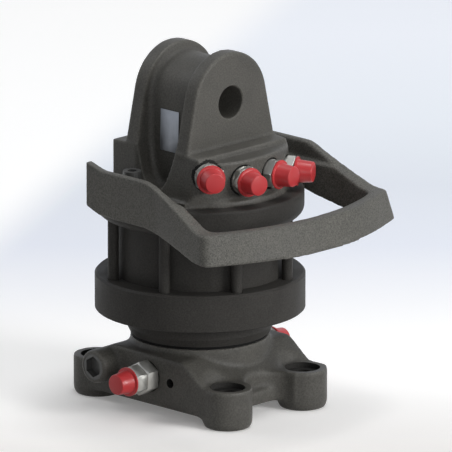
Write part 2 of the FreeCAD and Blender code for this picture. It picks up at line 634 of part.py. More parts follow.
# Flange casting: a hub on a saddle that falls to four bolt feet, with flat sides, two bays and a boss
def make_flange_casting():
    body = new_body("flange_casting")
    lobe_end = foot_y + S["foot_lobe"]
    bay = foot_x - S["foot_lobe"]
    tip = S["foot_lobe"] * NEARLY_ROUND
    throat = bay * NEARLY_ROUND
    half = [
        (S["web_half_width"], lobe_end, tip), (bay, lobe_end, tip), (bay, S["bay_reach"], throat),
        (-bay, S["bay_reach"], throat), (-bay, lobe_end, tip), (-S["web_half_width"], lobe_end, tip),
    ]
    outline = half + [(-x, -y, blend) for x, y, blend in half]
    plan = closed_profile(body, "XY_Plane", outline, S["web_underside"])
    pad(body, plan, S["saddle_top"] - S["web_underside"])
    far = lobe_end + S["foot_lobe"]
    above = S["hub_top"] + S["foot_lobe"]
    fall = [
        (S["saddle_crest"] / 2, S["saddle_top"]), (S["saddle_crest"], S["saddle_top"], S["saddle_round"]),
        (S["saddle_foot"], S["foot_height"], S["saddle_round"]), (far, S["foot_height"]),
        (far, above), (S["saddle_crest"] / 2, above),
    ]
    slope = pocket(body, closed_profile(body, "YZ_Plane", fall), None, both_ways=True)
    mirror(body, [slope], "XZ_Plane")
    hub = circles(body, "XY_Plane", [(NOTHING, NOTHING, S["hub_radius"])], S["web_underside"])
    pad(body, hub, S["hub_top"] - S["web_underside"])
    edge_of_hub = (S["hub_radius"].value, S["hub_top"].value)
    dress(body, "Fillet", S["hub_edge"], lambda edge: is_circle(edge, *edge_of_hub))
    ledge_height = S["ledge_top"] - S["web_underside"]
    ledge = box_outline(-foot_x, foot_x, -S["ledge_reach"], S["ledge_reach"])
    ledge_sketch = closed_profile(body, "XY_Plane", ledge, S["web_underside"])
    pad(body, ledge_sketch, ledge_height)
    feet = circles(body, "XY_Plane", four_corners(foot_x, foot_y, S["foot_radius"]))
    pad(body, feet, S["foot_height"])
    boss = [(S["plug_boss_y"], S["plug_boss_z"], S["plug_boss_radius"])]
    boss_sketch = circles(body, "YZ_Plane", boss, -S["plug_boss_end"])
    pad(body, boss_sketch, S["plug_boss_end"] - S["web_half_width"] + S["foot_lobe"])
    rounded = (S["foot_radius"], S["foot_bottom_round"])
    dress(body, "Fillet", rounded[1], lambda edge: is_circle(edge, rounded[0].value, 0.0))
    hole_spots = four_corners(foot_x, foot_y, S["foot_hole"] / 2)
    pocket(body, circles(body, "XY_Plane", hole_spots, S["foot_height"]))
    sinks = circles(body, "XY_Plane", four_corners(foot_x, foot_y, S["foot_sink"] / 2), S["foot_height"])
    pocket(body, sinks, S["foot_sink_depth"])
    pit = circles(body, "XY_Plane", [(NOTHING, NOTHING, S["pit_radius"])], S["web_underside"])
    pocket(body, pit, S["pit_depth"] - S["web_underside"], backwards=True)
    screw = [(S["foot_screw_circle"], NOTHING, S["foot_screw_radius"] + S["bolt_play"])]
    screw_hole = pocket(body, circles(body, "XY_Plane", screw, S["hub_top"]))
    polar(body, [screw_hole], S["foot_screw_count"])
    drop = S["hub_top"] - S["lower_port_z"]
    drillings = [(-shaft_channel_x, S["lower_port_y"], S["channel_radius"]),
                 (shaft_channel_x, -S["lower_port_y"], S["channel_radius"])]
    pocket(body, circles(body, "XY_Plane", drillings, S["hub_top"]), drop)
    for side in (-1.0, 1.0):
        axis_y = S["lower_port_y"] * -side
        face = S["web_half_width"] * side
        inwards = side < 0
        for radius, depth in (
            (S["spotface_radius"], S["spotface_depth"]),
            (S["port_radius"], S["port_depth"]),
            (S["channel_radius"], S["web_half_width"] - shaft_channel_x),
        ):
            spot = circles(body, "YZ_Plane", [(axis_y, S["lower_port_z"], radius)], face)
            pocket(body, spot, depth, backwards=inwards)
    plug_hole = [(S["plug_boss_y"], S["plug_boss_z"], S["plug_radius"] + S["thread_play"])]
    plug_sketch = circles(body, "YZ_Plane", plug_hole, -S["plug_boss_end"])
    pocket(body, plug_sketch, S["plug_depth"] + S["drill_run_out"], backwards=True)
    tapped = [(S["side_hole_y"], S["side_hole_z"], S["side_hole_radius"])]
    tapped_sketch = circles(body, "YZ_Plane", tapped, -S["web_half_width"])
    pocket(body, tapped_sketch, S["side_hole_depth"], backwards=True)
    keep("flange_casting", body)


def is_circle(edge, radius, height=None):
    curve = edge.Curve
    if not isinstance(curve, Part.Circle) or not near(curve.Radius, radius):
        return False
    return height is None or near(curve.Center.z, height)


def make_side_plug():
    body = new_body("side_plug")
    spot = [(S["plug_boss_y"], S["plug_boss_z"], S["plug_radius"])]
    start = -S["plug_boss_end"] + S["plug_recess"]
    pad(body, circles(body, "YZ_Plane", spot, start), S["plug_depth"])
    centre = (S["plug_boss_y"], S["plug_boss_z"])
    socket = [(centre[0] - across, centre[1] + up) for up, across in hexagon_corners(S["plug_socket"])]
    pocket(body, closed_profile(body, "YZ_Plane", socket, start), S["plug_depth"] / 2, backwards=True)
    keep("side_plug", body)


def make_foot_screws():
    body = new_body("flange_screws")
    spot_x = S["foot_screw_circle"]
    head_height = S["foot_screw_radius"] * 2
    head = pad(body, circles(body, "XY_Plane", [(spot_x, NOTHING, S["foot_screw_head"])], S["pit_depth"]),
               head_height, backwards=True)
    shank_length = S["hub_top"] - S["pit_depth"] + S["shaft_foot_height"] - 2
    shank_spot = [(spot_x, NOTHING, S["foot_screw_radius"] - S["thread_play"])]
    shank = pad(body, circles(body, "XY_Plane", shank_spot, S["pit_depth"]), shank_length)
    polar(body, [head, shank], S["foot_screw_count"])
    keep("flange_screws", body)


# Lower cover: the ring that the tie bolts pull up, and the neck with the seal and bearings in it
def make_lower_cover():
    body = new_body("lower_cover")
    plate_recess = S["plate_radius"] + S["thread_play"]
    profile = [
        (S["cover_cavity_radius"], S["neck_bottom"]), (S["neck_tip_radius"], S["neck_bottom"]),
        (S["neck_radius"], S["neck_taper_top"]), (S["neck_radius"], S["ring_bottom"]),
        (S["ring_radius"] - S["ring_corner"], S["ring_bottom"]),
        (S["ring_radius"], S["ring_bottom"] + S["ring_corner"]),
        (S["ring_radius"], S["ring_top"] - S["ring_chamfer"]),
        (S["ring_radius"] - S["ring_chamfer"], S["ring_top"]),
        (plate_recess, S["ring_top"]), (plate_recess, S["lower_plate_bottom"]),
        (S["thrust_outer"] + S["thread_play"], S["lower_plate_bottom"]),
        (S["thrust_outer"] + S["thread_play"], S["thrust_floor"]),
        (journal_bore + S["cover_play"], S["thrust_floor"]),
        (journal_bore + S["cover_play"], S["lower_bush_top"]),
        (journal_bore + S["bush_wall"], S["lower_bush_top"]), (journal_bore + S["bush_wall"], S["seal_top"]),
        (S["seal_radius"], S["seal_top"]), (S["seal_radius"], S["cavity_top"]),
        (S["cover_cavity_radius"], S["cavity_top"]),
    ]
    revolve(body, profile)
    groove_low = S["ring_top"] - S["o_ring_radius"] * 2
    groove_in = S["o_ring_circle"] - S["o_ring_radius"] - S["groove_room"]
    groove_out = S["o_ring_circle"] + S["o_ring_radius"] + S["groove_room"]
    revolve(body, box_outline(groove_in, groove_out, groove_low, S["ring_top"] + 1), "Groove")
    hole = pocket(body, circles(body, "XY_Plane", [(bolt_x, bolt_y, S["bolt_radius"] + S["bolt_play"])],
                                S["ring_top"]))
    sink_spot = [(bolt_x, bolt_y, S["bolt_head_radius"] + S["bolt_play"])]
    sink = pocket(body, circles(body, "XY_Plane", sink_spot, S["ring_bottom"]),
                  S["bolt_head_height"] + 1, backwards=True)
    polar(body, [hole, sink], S["bolt_count"])
    keep("lower_cover", body)


def make_tie_bolts():
    body = new_body("tie_bolts")
    seat = S["ring_bottom"] + S["bolt_head_height"] + 1
    head = pad(body, circles(body, "XY_Plane", [(bolt_x, bolt_y, S["bolt_head_radius"])], seat),
               S["bolt_head_height"], backwards=True)
    shank_length = S["drum_bottom"] - seat + S["bolt_reach"]
    shank = pad(body, circles(body, "XY_Plane", [(bolt_x, bolt_y, S["bolt_radius"])], seat), shank_length)
    socket = hexagon(body, S["bolt_socket"], seat - S["bolt_head_height"], (bolt_x, bolt_y))
    hollow = pocket(body, socket, S["bolt_head_height"] / 2, backwards=True)
    polar(body, [head, shank, hollow], S["bolt_count"])
    keep("tie_bolts", body)


def make_cam_ring():
    ring = cylinder("cam_blank", S["cam_radius"], cam_height)
    lift(ring, S["ring_top"])
    oval = doc.addObject("Part::Ellipse", "cam_track")
    oval.MajorRadius = S["cam_major"].value
    oval.MinorRadius = S["cam_minor"].value
    oval.setExpression("MajorRadius", S["cam_major"].text)
    oval.setExpression("MinorRadius", S["cam_minor"].text)
    oval.Placement = Placement(Vector(0, 0, S["ring_top"].value), Rotation(Vector(0, 0, 1), FULL_TURN / 4))
    oval.setExpression("Placement.Base.z", S["ring_top"].text)
    track = doc.addObject("Part::Extrusion", "cam_space")
    track.Base = oval
    track.DirMode = "Custom"
    track.Dir = Vector(0, 0, 1)
    track.Solid = True
    track.LengthFwd = cam_height.value
    track.setExpression("LengthFwd", cam_height.text)
    holes = []
    for side in (-1.0, 1.0):
        for level in (S["ring_top"], S["drum_bottom"] - S["dowel_half_length"]):
            holes.append(dowel_hole(side, level))
    tools = boolean("Fuse", "cam_cuts", track, holes)
    keep("cam_ring", boolean("Cut", "cam_ring", ring, tools))


def lift(item, height):
    item.Placement = Placement(Vector(0, 0, height.value), item.Placement.Rotation)
    item.setExpression("Placement.Base.z", height.text)


def dowel_hole(side, level):
    hole = cylinder("dowel_hole", S["dowel_radius"] + S["thread_play"], S["dowel_half_length"])
    lift(hole, level)
    slide_x(hole, S["dowel_circle"] * side)
    return hole


def slide_x(item, place):
    base = item.Placement.Base
    item.Placement = Placement(Vector(place.value, base.y, base.z), item.Placement.Rotation)
    item.setExpression("Placement.Base.x", place.text)


def make_dowels():
    pins = []
    for side in (-1.0, 1.0):
        for level in (S["ring_top"], S["drum_bottom"]):
            pin = cylinder("dowel", S["dowel_radius"], (S["dowel_half_length"] - S["face_play"]) * 2)
            lift(pin, level - S["dowel_half_length"] + S["face_play"])
            slide_x(pin, S["dowel_circle"] * side)
            pins.append(pin)
    keep("dowel_pins", group("dowel_pins", pins))


def group(label, items):
    item = doc.addObject("Part::Compound", label)
    item.Links = items
    return item


def make_side_plate(label, bottom):
    body = new_body(label)
    inner = S["spline_top"] + S["plate_play"] if label == "lower_side_plate" else S["upper_journal"] + 1
    revolve(body, box_outline(inner, S["plate_radius"], bottom, bottom + S["plate_height"]))
    spots = [(sx * valve_x, sy * valve_y, S["channel_radius"]) for sx in (1.0, -1.0) for sy in (1.0, -1.0)]
    dowel = S["dowel_radius"] + S["thread_play"]
    spots += [(S["dowel_circle"] * side, NOTHING, dowel) for side in (1.0, -1.0)]
    pocket(body, circles(body, "XY_Plane", spots, bottom + S["plate_height"]))
    keep(label, body)


def make_o_rings():
    rings = []
    for level in (S["ring_top"] - S["o_ring_radius"], S["drum_bottom"] + S["o_ring_radius"]):
        ring = doc.addObject("Part::Torus", "o_ring")
        ring.Radius1 = S["o_ring_circle"].value
        section = S["o_ring_radius"] - S["thread_play"]
        ring.Radius2 = section.value
        ring.setExpression("Radius1", S["o_ring_circle"].text)
        ring.setExpression("Radius2", section.text)
        lift(ring, level)
        rings.append(ring)
    keep("cover_o_rings", group("cover_o_rings", rings))


# Bearings and seals inside the lower cover and the head
def make_bearings():
    keep("shaft_seal", ring_body("shaft_seal", journal_bore, S["seal_radius"] - S["thread_play"],
                                 S["cavity_top"], S["seal_top"]))
    keep("lower_bush", ring_body("lower_bush", journal_bore, journal_bore + S["bush_wall"], S["seal_top"],
                                 S["lower_bush_top"]))
    keep("thrust_race_lower", ring_body("thrust_race_lower", S["thrust_inner"], S["thrust_outer"],
                                        S["thrust_floor"], S["ball_floor"]))
    keep("thrust_race_upper", ring_body("thrust_race_upper", S["thrust_inner"],
                                        S["thrust_outer"] - S["run_play"], S["ball_roof"],
                                        S["collar_bottom"]))
    cage = ring_body("ball_cage", S["thrust_inner"] + 1, S["thrust_outer"] - 1,
                     S["ball_floor"] + S["ball_radius"] - S["cage_height"] / 2,
                     S["ball_floor"] + S["ball_radius"] + S["cage_height"] / 2)
    middle = S["ball_floor"] + S["ball_radius"] + S["cage_height"]
    spot = [(ball_circle, NOTHING, S["ball_radius"] + S["face_play"])]
    window = pocket(cage, circles(cage, "XY_Plane", spot, middle))
    polar(cage, [window], S["ball_count"])
    keep("ball_cage", cage)
    balls = new_body("thrust_balls")
    sketch = new_sketch(balls, "XZ_Plane", None)
    ball_z = S["ball_floor"] + S["ball_radius"] + S["run_play"]
    spot = Vector(ball_circle.value, ball_z.value, 0)
    half_turn = Part.Circle(spot, Vector(0, 0, 1), S["ball_radius"].value)
    arc = sketch.addGeometry(Part.ArcOfCircle(half_turn, -math.pi / 2, math.pi / 2))
    top = Vector(spot.x, spot.y + S["ball_radius"].value, 0)
    bottom = Vector(spot.x, spot.y - S["ball_radius"].value, 0)
    chord = sketch.addGeometry(Part.LineSegment(top, bottom))
    bind_constraint(sketch, Sketcher.Constraint("Radius", arc, S["ball_radius"].value), S["ball_radius"])
    locate(sketch, arc, 3, ball_circle, ball_z)
    sketch.addConstraint(Sketcher.Constraint("Coincident", arc, 2, chord, 1))
    sketch.addConstraint(Sketcher.Constraint("Coincident", chord, 2, arc, 1))
    sketch.addConstraint(Sketcher.Constraint("Vertical", chord))
    sketch.addConstraint(Sketcher.Constraint("PointOnObject", arc, 3, chord))
    ball = balls.newObject("PartDesign::Revolution", "ball")
    ball.Profile = sketch
    ball.ReferenceAxis = (sketch, [f"Edge{chord + 1}"])
    ball.Angle = FULL_TURN
    polar(balls, [ball], S["ball_count"])
    keep("thrust_balls", balls)
    keep("upper_bush", ring_body("upper_bush", S["upper_journal"] + S["run_play"],
                                 S["upper_journal"] + S["bush_wall"], upper_plate_top, upper_bush_top))
    keep("dust_seal", ring_body("dust_seal", S["cover_cavity_radius"] - 2, S["neck_tip_radius"] - 2,
                                S["hub_top"], S["neck_bottom"] - S["face_play"]))


# Rotor shaft: foot, journal, collar, splines for the vane rotor, upper journal and swivel grooves
def make_rotor_shaft():
    body = new_body("rotor_shaft")
    step = upper_bush_top - S["face_play"]
    outline = [
        (NOTHING, S["hub_top"]), (S["shaft_foot_radius"], S["hub_top"]),
        (S["shaft_foot_radius"], S["shaft_foot_top"]), (S["journal_radius"], S["shaft_foot_top"]),
        (S["journal_radius"], S["collar_bottom"]), (S["collar_radius"], S["collar_bottom"]),
        (S["collar_radius"], S["collar_top"]), (S["spline_root"], S["collar_top"]),
        (S["spline_root"], S["drum_bottom"]), (S["upper_journal"], S["drum_bottom"]),
        (S["upper_journal"], step), (S["swivel_radius"], step),
        (S["swivel_radius"], S["swivel_top"]), (NOTHING, S["swivel_top"]),
    ]
    revolve(body, outline)
    for level in (S["port_high"], S["port_low"]):
        revolve(body, box_outline(S["swivel_radius"] - S["groove_depth"], S["swivel_radius"] + 1,
                                  level - S["groove_half"], level + S["groove_half"]), "Groove")
    for level in swivel_seal_levels():
        half = S["swivel_seal_half"] + S["run_play"]
        revolve(body, box_outline(S["swivel_radius"] - S["swivel_seal_depth"], S["swivel_radius"] + 1,
                                  level - half, level + half), "Groove")
    tooth = pad(body, spline_tooth(body, NOTHING, S["ring_top"] + 1), cam_height - 2)
    polar(body, [tooth], S["spline_count"])
    for side, level in ((-1.0, S["port_high"]), (1.0, S["port_low"])):
        spot = [(shaft_channel_x * side, S["lower_port_y"] * -side, S["channel_radius"])]
        rise = level - S["hub_top"]
        pocket(body, circles(body, "XY_Plane", spot, S["hub_top"]), rise, backwards=True)
        face = S["swivel_radius"] * side
        cross = circles(body, "YZ_Plane", [(S["lower_port_y"] * -side, level, S["cross_drill"])], face)
        pocket(body, cross, S["swivel_radius"] - shaft_channel_x, backwards=side < 0)
    thread = [(S["foot_screw_circle"], NOTHING, S["foot_screw_radius"])]
    hole = pocket(body, circles(body, "XY_Plane", thread, S["hub_top"]), S["shaft_foot_height"] - 1,
                  backwards=True)
    polar(body, [hole], S["foot_screw_count"])
    keep("rotor_shaft", body)


def swivel_seal_levels():
    return [
        S["port_low"] - S["seal_offset"],
        (S["port_low"] + S["port_high"]) / 2,
        S["port_high"] + S["seal_offset"],
    ]


# One spline tooth, or the space for one when grown by a clearance
def spline_tooth(body, clearance, shift):
    growth = as_size(clearance)
    half = S["spline_root"] * (math.pi / 2) / S["spline_count"] + growth
    tip = half - S["spline_draft"]
    inner = S["spline_root"] - 2
    outer = S["spline_top"] + growth
    tooth = [(inner, -half), (outer, -tip), (outer, tip), (inner, half)]
    return closed_profile(body, "XY_Plane", tooth, shift)


def make_swivel_seals():
    rings = []
    for number, level in enumerate(swivel_seal_levels(), start=1):
        rings.append(ring_body(f"swivel_seal_{number}", S["swivel_radius"] - S["swivel_seal_depth"],
                               S["swivel_radius"], level - S["swivel_seal_half"],
                               level + S["swivel_seal_half"]))
    keep("swivel_seals", group("swivel_seals", rings))


def make_vane_rotor():
    body = new_body("vane_rotor")
    bottom = S["ring_top"] + S["face_play"] / 2
    height = cam_height - S["face_play"]
    pad(body, circles(body, "XY_Plane", [(NOTHING, NOTHING, S["rotor_radius"])], bottom), height)
    bore = circles(body, "XY_Plane", [(NOTHING, NOTHING, S["spline_root"] + S["run_play"])], bottom + height)
    pocket(body, bore)
    space = pocket(body, spline_tooth(body, S["run_play"], bottom + height))
    polar(body, [space], S["spline_count"])
    slot_half = S["vane_thickness"] / 2 + S["vane_play"]
    slot_root = S["vane_tip"] - S["vane_height"] - S["face_play"]
    slot = box_outline(slot_root, S["rotor_radius"] + 2, -slot_half, slot_half)
    cut = pocket(body, closed_profile(body, "XY_Plane", slot, bottom + height))
    polar(body, [cut], S["vane_count"])
    keep("vane_rotor", body)


def make_vanes():
    body = new_body("vanes")
    half = S["vane_thickness"] / 2
    outline = box_outline(S["vane_tip"] - S["vane_height"], S["vane_tip"], -half, half)
    bottom = S["ring_top"] + S["face_play"] / 2
    vane = pad(body, closed_profile(body, "XY_Plane", outline, bottom), cam_height - S["face_play"])
    polar(body, [vane], S["vane_count"])
    keep("vanes", body)


# Head casting: drum, base disc, port block, two ears with a web between them, and the bores inside
def tilted_sketch(body, place, turn, radius):
    x, y, z = place
    sketch = new_sketch(body, "XZ_Plane", None)
    axis = Vector(0, 1 if turn.value > 0 else -1, 0)
    angle = turn if turn.value > 0 else -turn
    sketch.AttachmentOffset = Placement(Vector(x.value, z.value, -y.value), Rotation(axis, angle.value))
    sketch.setExpression("AttachmentOffset.Base.x", x.text)
    sketch.setExpression("AttachmentOffset.Base.y", z.text)
    sketch.setExpression("AttachmentOffset.Base.z", (-y).text)
    sketch.setExpression("AttachmentOffset.Rotation.Angle", angle.text)
    index = sketch.addGeometry(Part.Circle(Vector(), Vector(0, 0, 1), radius.value))
    bind_constraint(sketch, Sketcher.Constraint("Radius", index, radius.value), radius)
    sketch.addConstraint(Sketcher.Constraint("Coincident", index, 3, -1, 1))
    return sketch


# The four upper ports as (turn from -Y, height), from -X to +X
PORTS = [
    (-S["port_outer_angle"], S["port_high"]),
    (-S["port_inner_angle"], S["port_middle"]),
    (S["port_inner_angle"], S["port_middle"]),
    (S["port_outer_angle"], S["port_low"]),
]


def port_spot(turn, reach, height):
    return sine(turn) * reach, S["block_arc_centre"] - cosine(turn) * reach, height


def slope_of(taper):
    return sine(taper) / cosine(taper)


def arch_foot(radius, taper, floor):
    top_x = radius * cosine(taper)
    top_z = S["pin_height"] + radius * sine(taper)
    return top_x + (top_z - floor) * slope_of(taper), top_x, top_z


def ear_outline():
    shelf_x, top_x, top_z = arch_foot(S["ear_radius"], S["ear_taper"], S["shelf_height"])
    return [
        (shelf_x, S["drum_top"]), (shelf_x, S["shelf_height"]), (top_x, top_z, None, S["ear_radius"]),
        (-top_x, top_z), (-shelf_x, S["shelf_height"]), (-shelf_x, S["drum_top"]),
    ]


# The ears grow thicker towards the disc: their inner faces curve together into a round valley
def valley(body):
    top = S["shelf_height"] + S["valley_top"]
    drop = top - S["disc_top"] - S["valley_floor"]
    shelf_x, top_x, top_z = arch_foot(S["ear_radius"], S["ear_taper"], S["shelf_height"])
    narrow = shelf_x - S["valley_top"] * slope_of(S["ear_taper"])
    filling = [
        (shelf_x, S["drum_top"]), (shelf_x, S["shelf_height"]), (narrow, top), (-narrow, top),
        (-shelf_x, S["shelf_height"]), (-shelf_x, S["drum_top"]),
    ]
    pad(body, closed_profile(body, "XZ_Plane", filling), S["ear_inner"] * 2, both_ways=True)
    foot_reach = foot_of_ear()
    front = [(foot_reach, S["disc_top"]), (narrow, top), (-narrow, top), (-foot_reach, S["disc_top"])]
    pad(body, closed_profile(body, "XZ_Plane", front), S["ear_inner"])
    arc = S["valley_arc"]
    side = arc - S["ear_inner"]
    bottom = (arc * arc - side * side - drop * drop) / ((arc - drop) * 2)
    share = arc / (arc - bottom)
    low_y = side * share - side
    low_z = top - (drop - bottom) * share
    hollow = [
        (-S["ear_inner"], top, None, arc), (-low_y, low_z, None, bottom), (low_y, low_z, None, arc),
        (S["ear_inner"], top), (S["ear_inner"], top + S["valley_top"]),
        (-S["ear_inner"], top + S["valley_top"]),
    ]
    pocket(body, closed_profile(body, "YZ_Plane", hollow), None, both_ways=True)


# Where the slanting sides of the ears would meet the disc
def foot_of_ear():
    shelf_x, top_x, top_z = arch_foot(S["ear_radius"], S["ear_taper"], S["shelf_height"])
    return shelf_x + (S["shelf_height"] - S["disc_top"]) * slope_of(S["ear_taper"])


# The port block's sides slant like the ears'
def slant_sides(body):
    shelf_x, top_x, top_z = arch_foot(S["ear_radius"], S["ear_taper"], S["shelf_height"])
    wide = S["block_half_width"] + 1
    outside = [
        (foot_of_ear(), S["disc_top"]), (wide, S["disc_top"]), (wide, S["shelf_height"]),
        (shelf_x, S["shelf_height"]),
    ]
    side = pocket(body, closed_profile(body, "XZ_Plane", outside), None, both_ways=True)
    mirror(body, [side], "YZ_Plane")


def web_outline():
    foot_half, top_x, top_z = arch_foot(S["web_half"], S["web_taper"], S["drum_top"])
    return [
        (foot_half, S["drum_top"]), (top_x, top_z, None, S["web_half"]),
        (-top_x, top_z), (-foot_half, S["drum_top"]),
    ]


def make_head_casting():
    body = new_body("head_casting")
    drum = [
        (NOTHING, S["drum_bottom"]), (S["drum_radius"], S["drum_bottom"], S["drum_round"]),
        (S["drum_radius"], S["drum_top"], S["edge_round"]), (S["disc_radius"], S["drum_top"]),
        (S["disc_radius"], S["disc_top"], S["edge_round"]), (NOTHING, S["disc_top"]),
    ]
    revolve(body, drum)
    half = S["block_half_width"]
    arc_y = S["block_arc_centre"] - arc_height(S["block_arc"], half)
    block = [
        (-half, -S["ear_inner"]), (-half, arc_y, None, S["block_arc"]),
        (half, arc_y), (half, -S["ear_inner"]),
    ]
    pad(body, closed_profile(body, "XY_Plane", block, S["drum_top"]), S["crescent_height"] - S["drum_top"])
    slant_sides(body)
    dress(body, "Fillet", S["block_corner"], slanting_corner)
    lip = [
        (-S["ear_inner"], S["crescent_height"] - 2), (-S["lip_reach"], S["crescent_height"] - 2),
        (-S["lip_reach"], S["lip_height"]), (-S["ear_outer"], S["shelf_height"]),
        (-S["ear_inner"], S["shelf_height"]),
    ]
    shelf_width = S["shelf_half_width"] * 2
    pad(body, closed_profile(body, "YZ_Plane", lip), shelf_width, both_ways=True)
    back = box_outline(-S["shelf_half_width"], S["shelf_half_width"], S["ear_inner"], S["lip_reach"])
    pad(body, closed_profile(body, "XY_Plane", back, S["drum_top"]), S["shelf_height"] - 1 - S["drum_top"])
    valley(body)
    ear_thickness = S["ear_outer"] - S["ear_inner"]
    ear = pad(body, closed_profile(body, "XZ_Plane", ear_outline(), S["ear_inner"]), ear_thickness)
    mirror(body, [ear], "XZ_Plane")
    pad(body, closed_profile(body, "XZ_Plane", web_outline()), S["ear_inner"] * 2, both_ways=True)
    dress(body, "Fillet", S["web_fillet"], web_edge)
    dress(body, "Fillet", S["ear_round"], ear_rim)
    pocket(body, circles(body, "XZ_Plane", [(NOTHING, S["pin_height"], S["pin_radius"])]), None,
                 both_ways=True)
    dress(body, "Chamfer", S["pin_chamfer"], lambda edge: is_circle(edge, S["pin_radius"].value))
    bores = [
        (NOTHING, S["drum_bottom"]), (S["plate_radius"] + S["thread_play"], S["drum_bottom"]),
        (S["plate_radius"] + S["thread_play"], upper_plate_top),
        (S["upper_journal"] + S["bush_wall"], upper_plate_top),
        (S["upper_journal"] + S["bush_wall"], upper_bush_top), (swivel_bore, upper_bush_top),
        (swivel_bore, S["swivel_top"] + 2), (NOTHING, S["swivel_top"] + 2),
    ]
    revolve(body, bores, "Groove")
    groove_in = S["o_ring_circle"] - S["o_ring_radius"] - S["groove_room"]
    groove_out = S["o_ring_circle"] + S["o_ring_radius"] + S["groove_room"]
    groove_top = S["drum_bottom"] + S["o_ring_radius"] * 2
    revolve(body, box_outline(groove_in, groove_out, S["drum_bottom"] - 1, groove_top), "Groove")
    for turn, height in PORTS:
        seat = S["block_arc"] - S["spotface_depth"]
        reach = S["block_arc_centre"]
        for radius, start, depth in (
            (S["spotface_radius"], S["block_arc"] + 2, S["spotface_depth"] + 2),
            (S["port_radius"], seat, S["port_depth"]),
            (S["channel_radius"], seat, seat - reach),
        ):
            if radius is S["channel_radius"] and height is S["port_middle"]:
                depth = seat - S["cam_minor"] - S["block_arc_centre"]
            sketch = tilted_sketch(body, port_spot(turn, start, height), turn, radius)
            pocket(body, sketch, depth)
    valves = [(side * valve_x, valve_y, S["channel_radius"]) for side in (1.0, -1.0)]
    pocket(body, circles(body, "XY_Plane", valves, upper_plate_top), S["port_middle"] - upper_plate_top,
           backwards=True)
    screw = S["guard_screw_radius"] + S["thread_play"]
    screws = [(side * S["lug_x"], S["lug_y"], screw) for side in (1.0, -1.0)]
    pocket(body, circles(body, "XY_Plane", screws, S["disc_top"]), S["guard_screw_reach"] + 1)
    thread = [(bolt_x, bolt_y, S["bolt_radius"] + S["thread_play"])]
    hole = pocket(body, circles(body, "XY_Plane", thread, S["drum_bottom"]), S["bolt_reach"] + 1,
                  backwards=True)
    polar(body, [hole], S["bolt_count"])
    keep("head_casting", body)


# The two front corners of the port block, above the disc
def slanting_corner(edge):
    points = [vertex.Point for vertex in edge.Vertexes]
    if any(point.y > -S["ear_outer"].value or point.z < S["disc_top"].value - 1 for point in points):
        return False
    return not near(points[0].z, points[-1].z)


# The arched outer edges of the two ears, above the shelf
def ear_rim(edge):
    points = [vertex.Point for vertex in edge.Vertexes]
    if not all(near(abs(point.y), S["ear_outer"].value) for point in points):
        return False
    if isinstance(edge.Curve, Part.Circle):
        return near(edge.Curve.Radius, S["ear_radius"].value)
    climbs = not near(points[0].z, points[-1].z)
    return climbs and max(point.z for point in points) > S["shelf_height"].value + 1


def web_edge(edge):
    wall = S["ear_inner"].value
    points = [vertex.Point for vertex in edge.Vertexes]
    on_wall = all(near(abs(point.y), wall) for point in points)
    if not on_wall or not near(points[0].y, points[-1].y):
        return False
    if isinstance(edge.Curve, Part.Circle):
        return near(edge.Curve.Radius, S["web_half"].value)
    foot_half, top_x, top_z = arch_foot(S["web_half"], S["web_taper"], S["drum_top"])
    return all(top_x.value - TOUCH < abs(point.x) < foot_half.value + TOUCH for point in points)


# Hose guard: a cast loop round the ports, cut from a lofted block by its side and plan outlines
def guard_outline(body, height, spread):
    arm = S["guard_arm"]
    corner_x = S["guard_corner_x"] + spread
    corner_y = S["guard_corner_y"] + spread
    outline = [
        (-arm, S["guard_back_y"]), (-arm, -S["guard_bend_y"], S["guard_bend_round"]),
        (-corner_x, -corner_y, S["guard_corner_round"]),
        (NOTHING, -(corner_y + S["guard_bow"]), S["guard_front_arc"]),
        (corner_x, -corner_y, S["guard_corner_round"]),
        (arm, -S["guard_bend_y"], S["guard_bend_round"]), (arm, S["guard_back_y"]),
    ]
    return closed_profile(body, "XY_Plane", outline, height)


